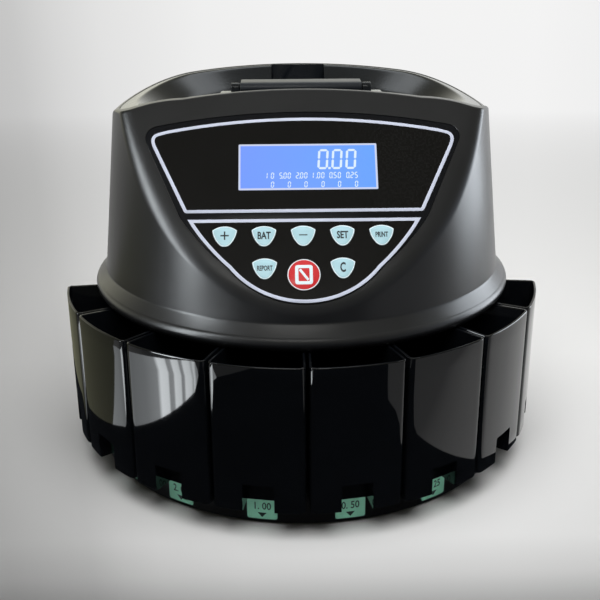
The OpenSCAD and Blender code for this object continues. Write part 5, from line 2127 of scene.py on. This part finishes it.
@dataclass
class Studio:
    """Floor, light and camera."""

    lens: float = 56.3
    eye: tuple[float, float, float] = (-0.01357, -0.67999, 0.36279)
    pitch: float = 20.696
    yaw: float = 1.018
    roll: float = -0.332

    def camera(self) -> None:
        """Make the camera."""
        data = bpy.data.cameras.new("camera")
        data.lens, data.sensor_width, data.clip_start = self.lens, 36, 0.01
        t, w, r = (math.radians(v) for v in (self.pitch, self.yaw, self.roll))
        ahead = Vector((math.cos(t) * math.sin(w), math.cos(t) * math.cos(w), -math.sin(t)))
        right = ahead.cross(Vector((0, 0, 1))).normalized()
        up = right.cross(ahead)
        right2 = math.cos(r) * right + math.sin(r) * up
        up2 = right2.cross(ahead)
        made = linked("camera", data)
        turn = Matrix((right2, up2, -ahead)).transposed().to_4x4()
        made.matrix_world = Matrix.Translation(self.eye) @ turn
        bpy.context.scene.camera = made

    def flat(self, name: str, corners: Sequence[Point], z: float) -> Piece:
        """Make a flat sheet of the studio at a height, from its corners in metres."""
        mesh = bpy.data.meshes.new(name)
        mesh.from_pydata([(x, y, z) for x, y in corners], [], [tuple(range(len(corners)))])
        made = linked(name, mesh)
        return made

    def floor(self) -> None:
        """Make the pale floor, which runs on as the backdrop, with painted shade: darker towards its front
        edge and towards its left side.
        """
        far = 14.0
        made = self.flat("floor", [(-far, -far), (far, -far), (far, far), (-far, far)], 0)
        bench = Bench("floor_paper")
        x, y, _ = bench.parts(bench.place())
        # Painted shade: the floor's colour darkens towards its front edge.
        along = ((0, 0.33), (0.018, 0.50), (0.045, 0.63), (0.25, 0.80), (1, 0.86))
        depth = bench.ramp([(u, (v,) * 3) for u, v in along], bench.ranged(y, -0.225, 1.2, 0, 1))
        ahead = bench.maths("MAXIMUM", y + 0.68, 0.3)
        # Painted shade: the floor and the backdrop's glow darken towards the left side, and a little towards
        # the right.
        across = (
            (0, 0.50), (0.13, 0.63), (0.18, 0.74), (0.24, 0.84), (0.37, 0.955), (0.5, 0.99), (0.8, 1),
            (1, 0.93),
        )
        side = bench.ramp([(u, (v,) * 3) for u, v in across], bench.ranged(x / ahead, -0.38, 0.42, 0, 1))
        mixing = {"data_type": "RGBA", "blend_type": "MULTIPLY"}
        # The two painted shades together.
        painted_floor_shade = bench.make("ShaderNodeMix", mixing, {0: 1.0, 6: depth, 7: side}, 2)
        far_off = bench.ranged(y, 0.2, 1.5, 0, 1)
        shown = bench.ray("Camera") + bench.ray("Glossy")
        bench.set(Base_Color=bench.blend(far_off, painted_floor_shade, (0, 0, 0)), Roughness=0.9, Specular_IOR_Level=0.1)
        # The backdrop's glow for camera and glossy rays, with the painted side shade on it.
        backdrop_glow_with_painted_shade = bench.make("ShaderNodeMix", mixing, {0: 1.0, 6: (0.88, 0.88, 0.88), 7: side}, 2)
        bench.set(Emission_Color=bench.blend(far_off * shown, (0, 0, 0), backdrop_glow_with_painted_shade))
        bench.set(Emission_Strength=1.0)
        made.data.materials.append(bench.material)

    def card(
        self, name: str, corners: Sequence[Point], z: float, colour: Colour | list[tuple[float, Colour]],
        strength: float,
    ) -> None:
        """Lay a card that only glossy surfaces see.

        Args:
            name: the card's name.
            corners: its corners, in metres.
            z: its height.
            colour: its colour, or the stops of its streaks across.
            strength: how brightly it shows.
        """
        made = self.flat(name, corners, z)
        bench = Bench(name)
        if isinstance(colour, tuple):
            shade: Value = colour
        else:
            x, y, _ = bench.parts(bench.place())
            shade = bench.ramp(colour, (y + 0.125) / (x + 0.047))
        bench.set(Base_Color=(0, 0, 0), Roughness=1.0, Specular_IOR_Level=0.0, Emission_Color=shade)
        bench.set(Emission_Strength=strength)
        made.data.materials.append(bench.material)
        made.visible_camera = made.visible_diffuse = made.visible_shadow = False
        made.visible_transmission = made.visible_volume_scatter = False

    def cards(self) -> None:
        """Lay the dark and the pale cards that the glossy cups mirror."""
        dark = [(-0.235, 0.16), (-0.235, -2.4), (0.9, -2.4), (0.9, -1.3), (0.175, -0.309), (0.175, 0.16)]
        self.card("dark_card", dark, 0.0006, (0.012, 0.013, 0.015), 1.0)
        left = [(-0.235, 0.3), (-0.235, -0.075), (-0.46, -0.06), (-1.7, -0.1), (-1.7, 0.6)]
        self.card("olive_card", left, 0.0004, (0.19, 0.19, 0.13), 1.0)
        streaked = [(-0.235, -0.075), (-0.46, -0.06), (-0.46, -0.5), (-0.235, -0.36)]
        stops = [
            (0.0, 0.14), (0.16, 0.20), (0.30, 0.32), (0.34, 1.0), (0.43, 0.95), (0.45, 0.35), (0.50, 0.4),
            (0.52, 1.0), (0.60, 0.9), (0.62, 0.32), (0.65, 0.4), (0.67, 1.0), (0.76, 0.9), (0.79, 0.5),
            (0.82, 0.9), (0.9, 0.6), (0.95, 0.3),
        ]
        self.card("streaked_card", streaked, 0.0005, [(u, (0.92 * v, 0.97 * v, v)) for u, v in stops], 11.0)

    def lamp(
        self, name: str, at: Sequence[float], aim: Sequence[float], size: Point, power: float, colour: Colour
    ) -> Piece:
        """Hang a soft rectangular lamp.

        Args:
            name: the lamp's name.
            at: its place, in metres.
            aim: the point that it faces.
            size: its width and height.
            power: its power in watts.
            colour: its colour.

        Returns:
            The lamp.
        """
        data = bpy.data.lights.new(name, "AREA")
        data.shape, data.size, data.size_y = "RECTANGLE", *size
        data.energy, data.color = power, colour
        made = linked(name, data)
        made.location = at
        made.rotation_mode = "QUATERNION"
        made.rotation_quaternion = (Vector(aim) - Vector(at)).to_track_quat("-Z", "Y")
        return made

    def light(self) -> None:
        """Hang the lamps and set the even light from all round."""
        world = bpy.data.worlds.new("surround")
        bpy.context.scene.world = world
        world.use_nodes = True
        bench = Bench("surround", world.node_tree)
        x, y, z = bench.parts(bench.make("ShaderNodeTexCoord", out="Generated"))
        right = bench.ranged(x, -0.5, 0.5, 0, 1)
        sides = bench.blend(right, (0.15, 0.15, 0.12), (0.40, 0.44, 0.52))
        rear = bench.blend(right, (1.1, 1.08, 0.86), (1.1, 1.12, 1.14))
        low = bench.blend(bench.ranged(y, 0.1, 0.4, 0, 1), sides, rear)
        round_about = bench.blend(bench.ranged(y, -0.15, -0.6, 0, 1), low, (0.12, 0.12, 0.11))
        around = bench.blend(bench.ranged(z, 0.18, 0.5, 0, 1), round_about, (0.19, 0.18, 0.125))
        shade = bench.blend(bench.ray("Camera"), around, (0.8, 0.8, 0.8))
        strength = 1.0 - 0.75 * bench.ray("Diffuse")
        sky = bench.make("ShaderNodeBackground", None, {"Color": shade, "Strength": strength})
        bench.tree.links.new(sky.link, bench.output.inputs[0])
        panels = (
            self.lamp("left_panel", (-0.98, -0.54, 0.45), (0, 0, 0.16), (0.24, 1.1), 14, (0.90, 0.96, 1)),
            self.lamp("right_panel", (1.02, 0.32, 0.36), (0, 0, 0.16), (0.6, 0.8), 9, (0.86, 0.93, 1)),
            self.lamp("front_panel", (-0.1, -1.0, 1.1), (0, 0, 0.14), (0.7, 0.14), 1.4, (1, 1, 0.97)),
            self.lamp("top_panel", (0.1, 0.9, 1.5), (0, 0.1, 0.2), (1.4, 0.5), 4, (0.9, 0.95, 1)),
        )
        for panel in panels:
            panel.visible_diffuse = False
        fill = self.lamp("front_fill", (0.04, -0.66, 2.0), (0, 0, 0), (1.9, 1.7), 62, (1, 1, 1))
        fill.visible_glossy = False

    def build(self) -> None:
        """Set the studio up."""
        self.camera()
        self.floor()
        self.cards()
        self.light()
        bpy.context.scene.view_settings.view_transform = "Standard"


def main() -> None:
    """Build the looks, piece by piece."""
    logging.basicConfig(level=logging.INFO, format="%(message)s")
    film = Film(STACK)
    shell = BodyShell(STACK)
    enrol(shell.build(), "main_unit", Finish.SHELL, "upper_shell")
    film.build_film()
    Display(STACK, film).build()
    Keys(STACK, film).build()
    CupFan(STACK).build()
    BaseRing(STACK).build()
    Hopper(STACK).build()
    Fasteners().build()
    Feet().build()
    Rotor().build()
    Inside().build()
    Studio().build()


if __name__ == "__main__":
    main()
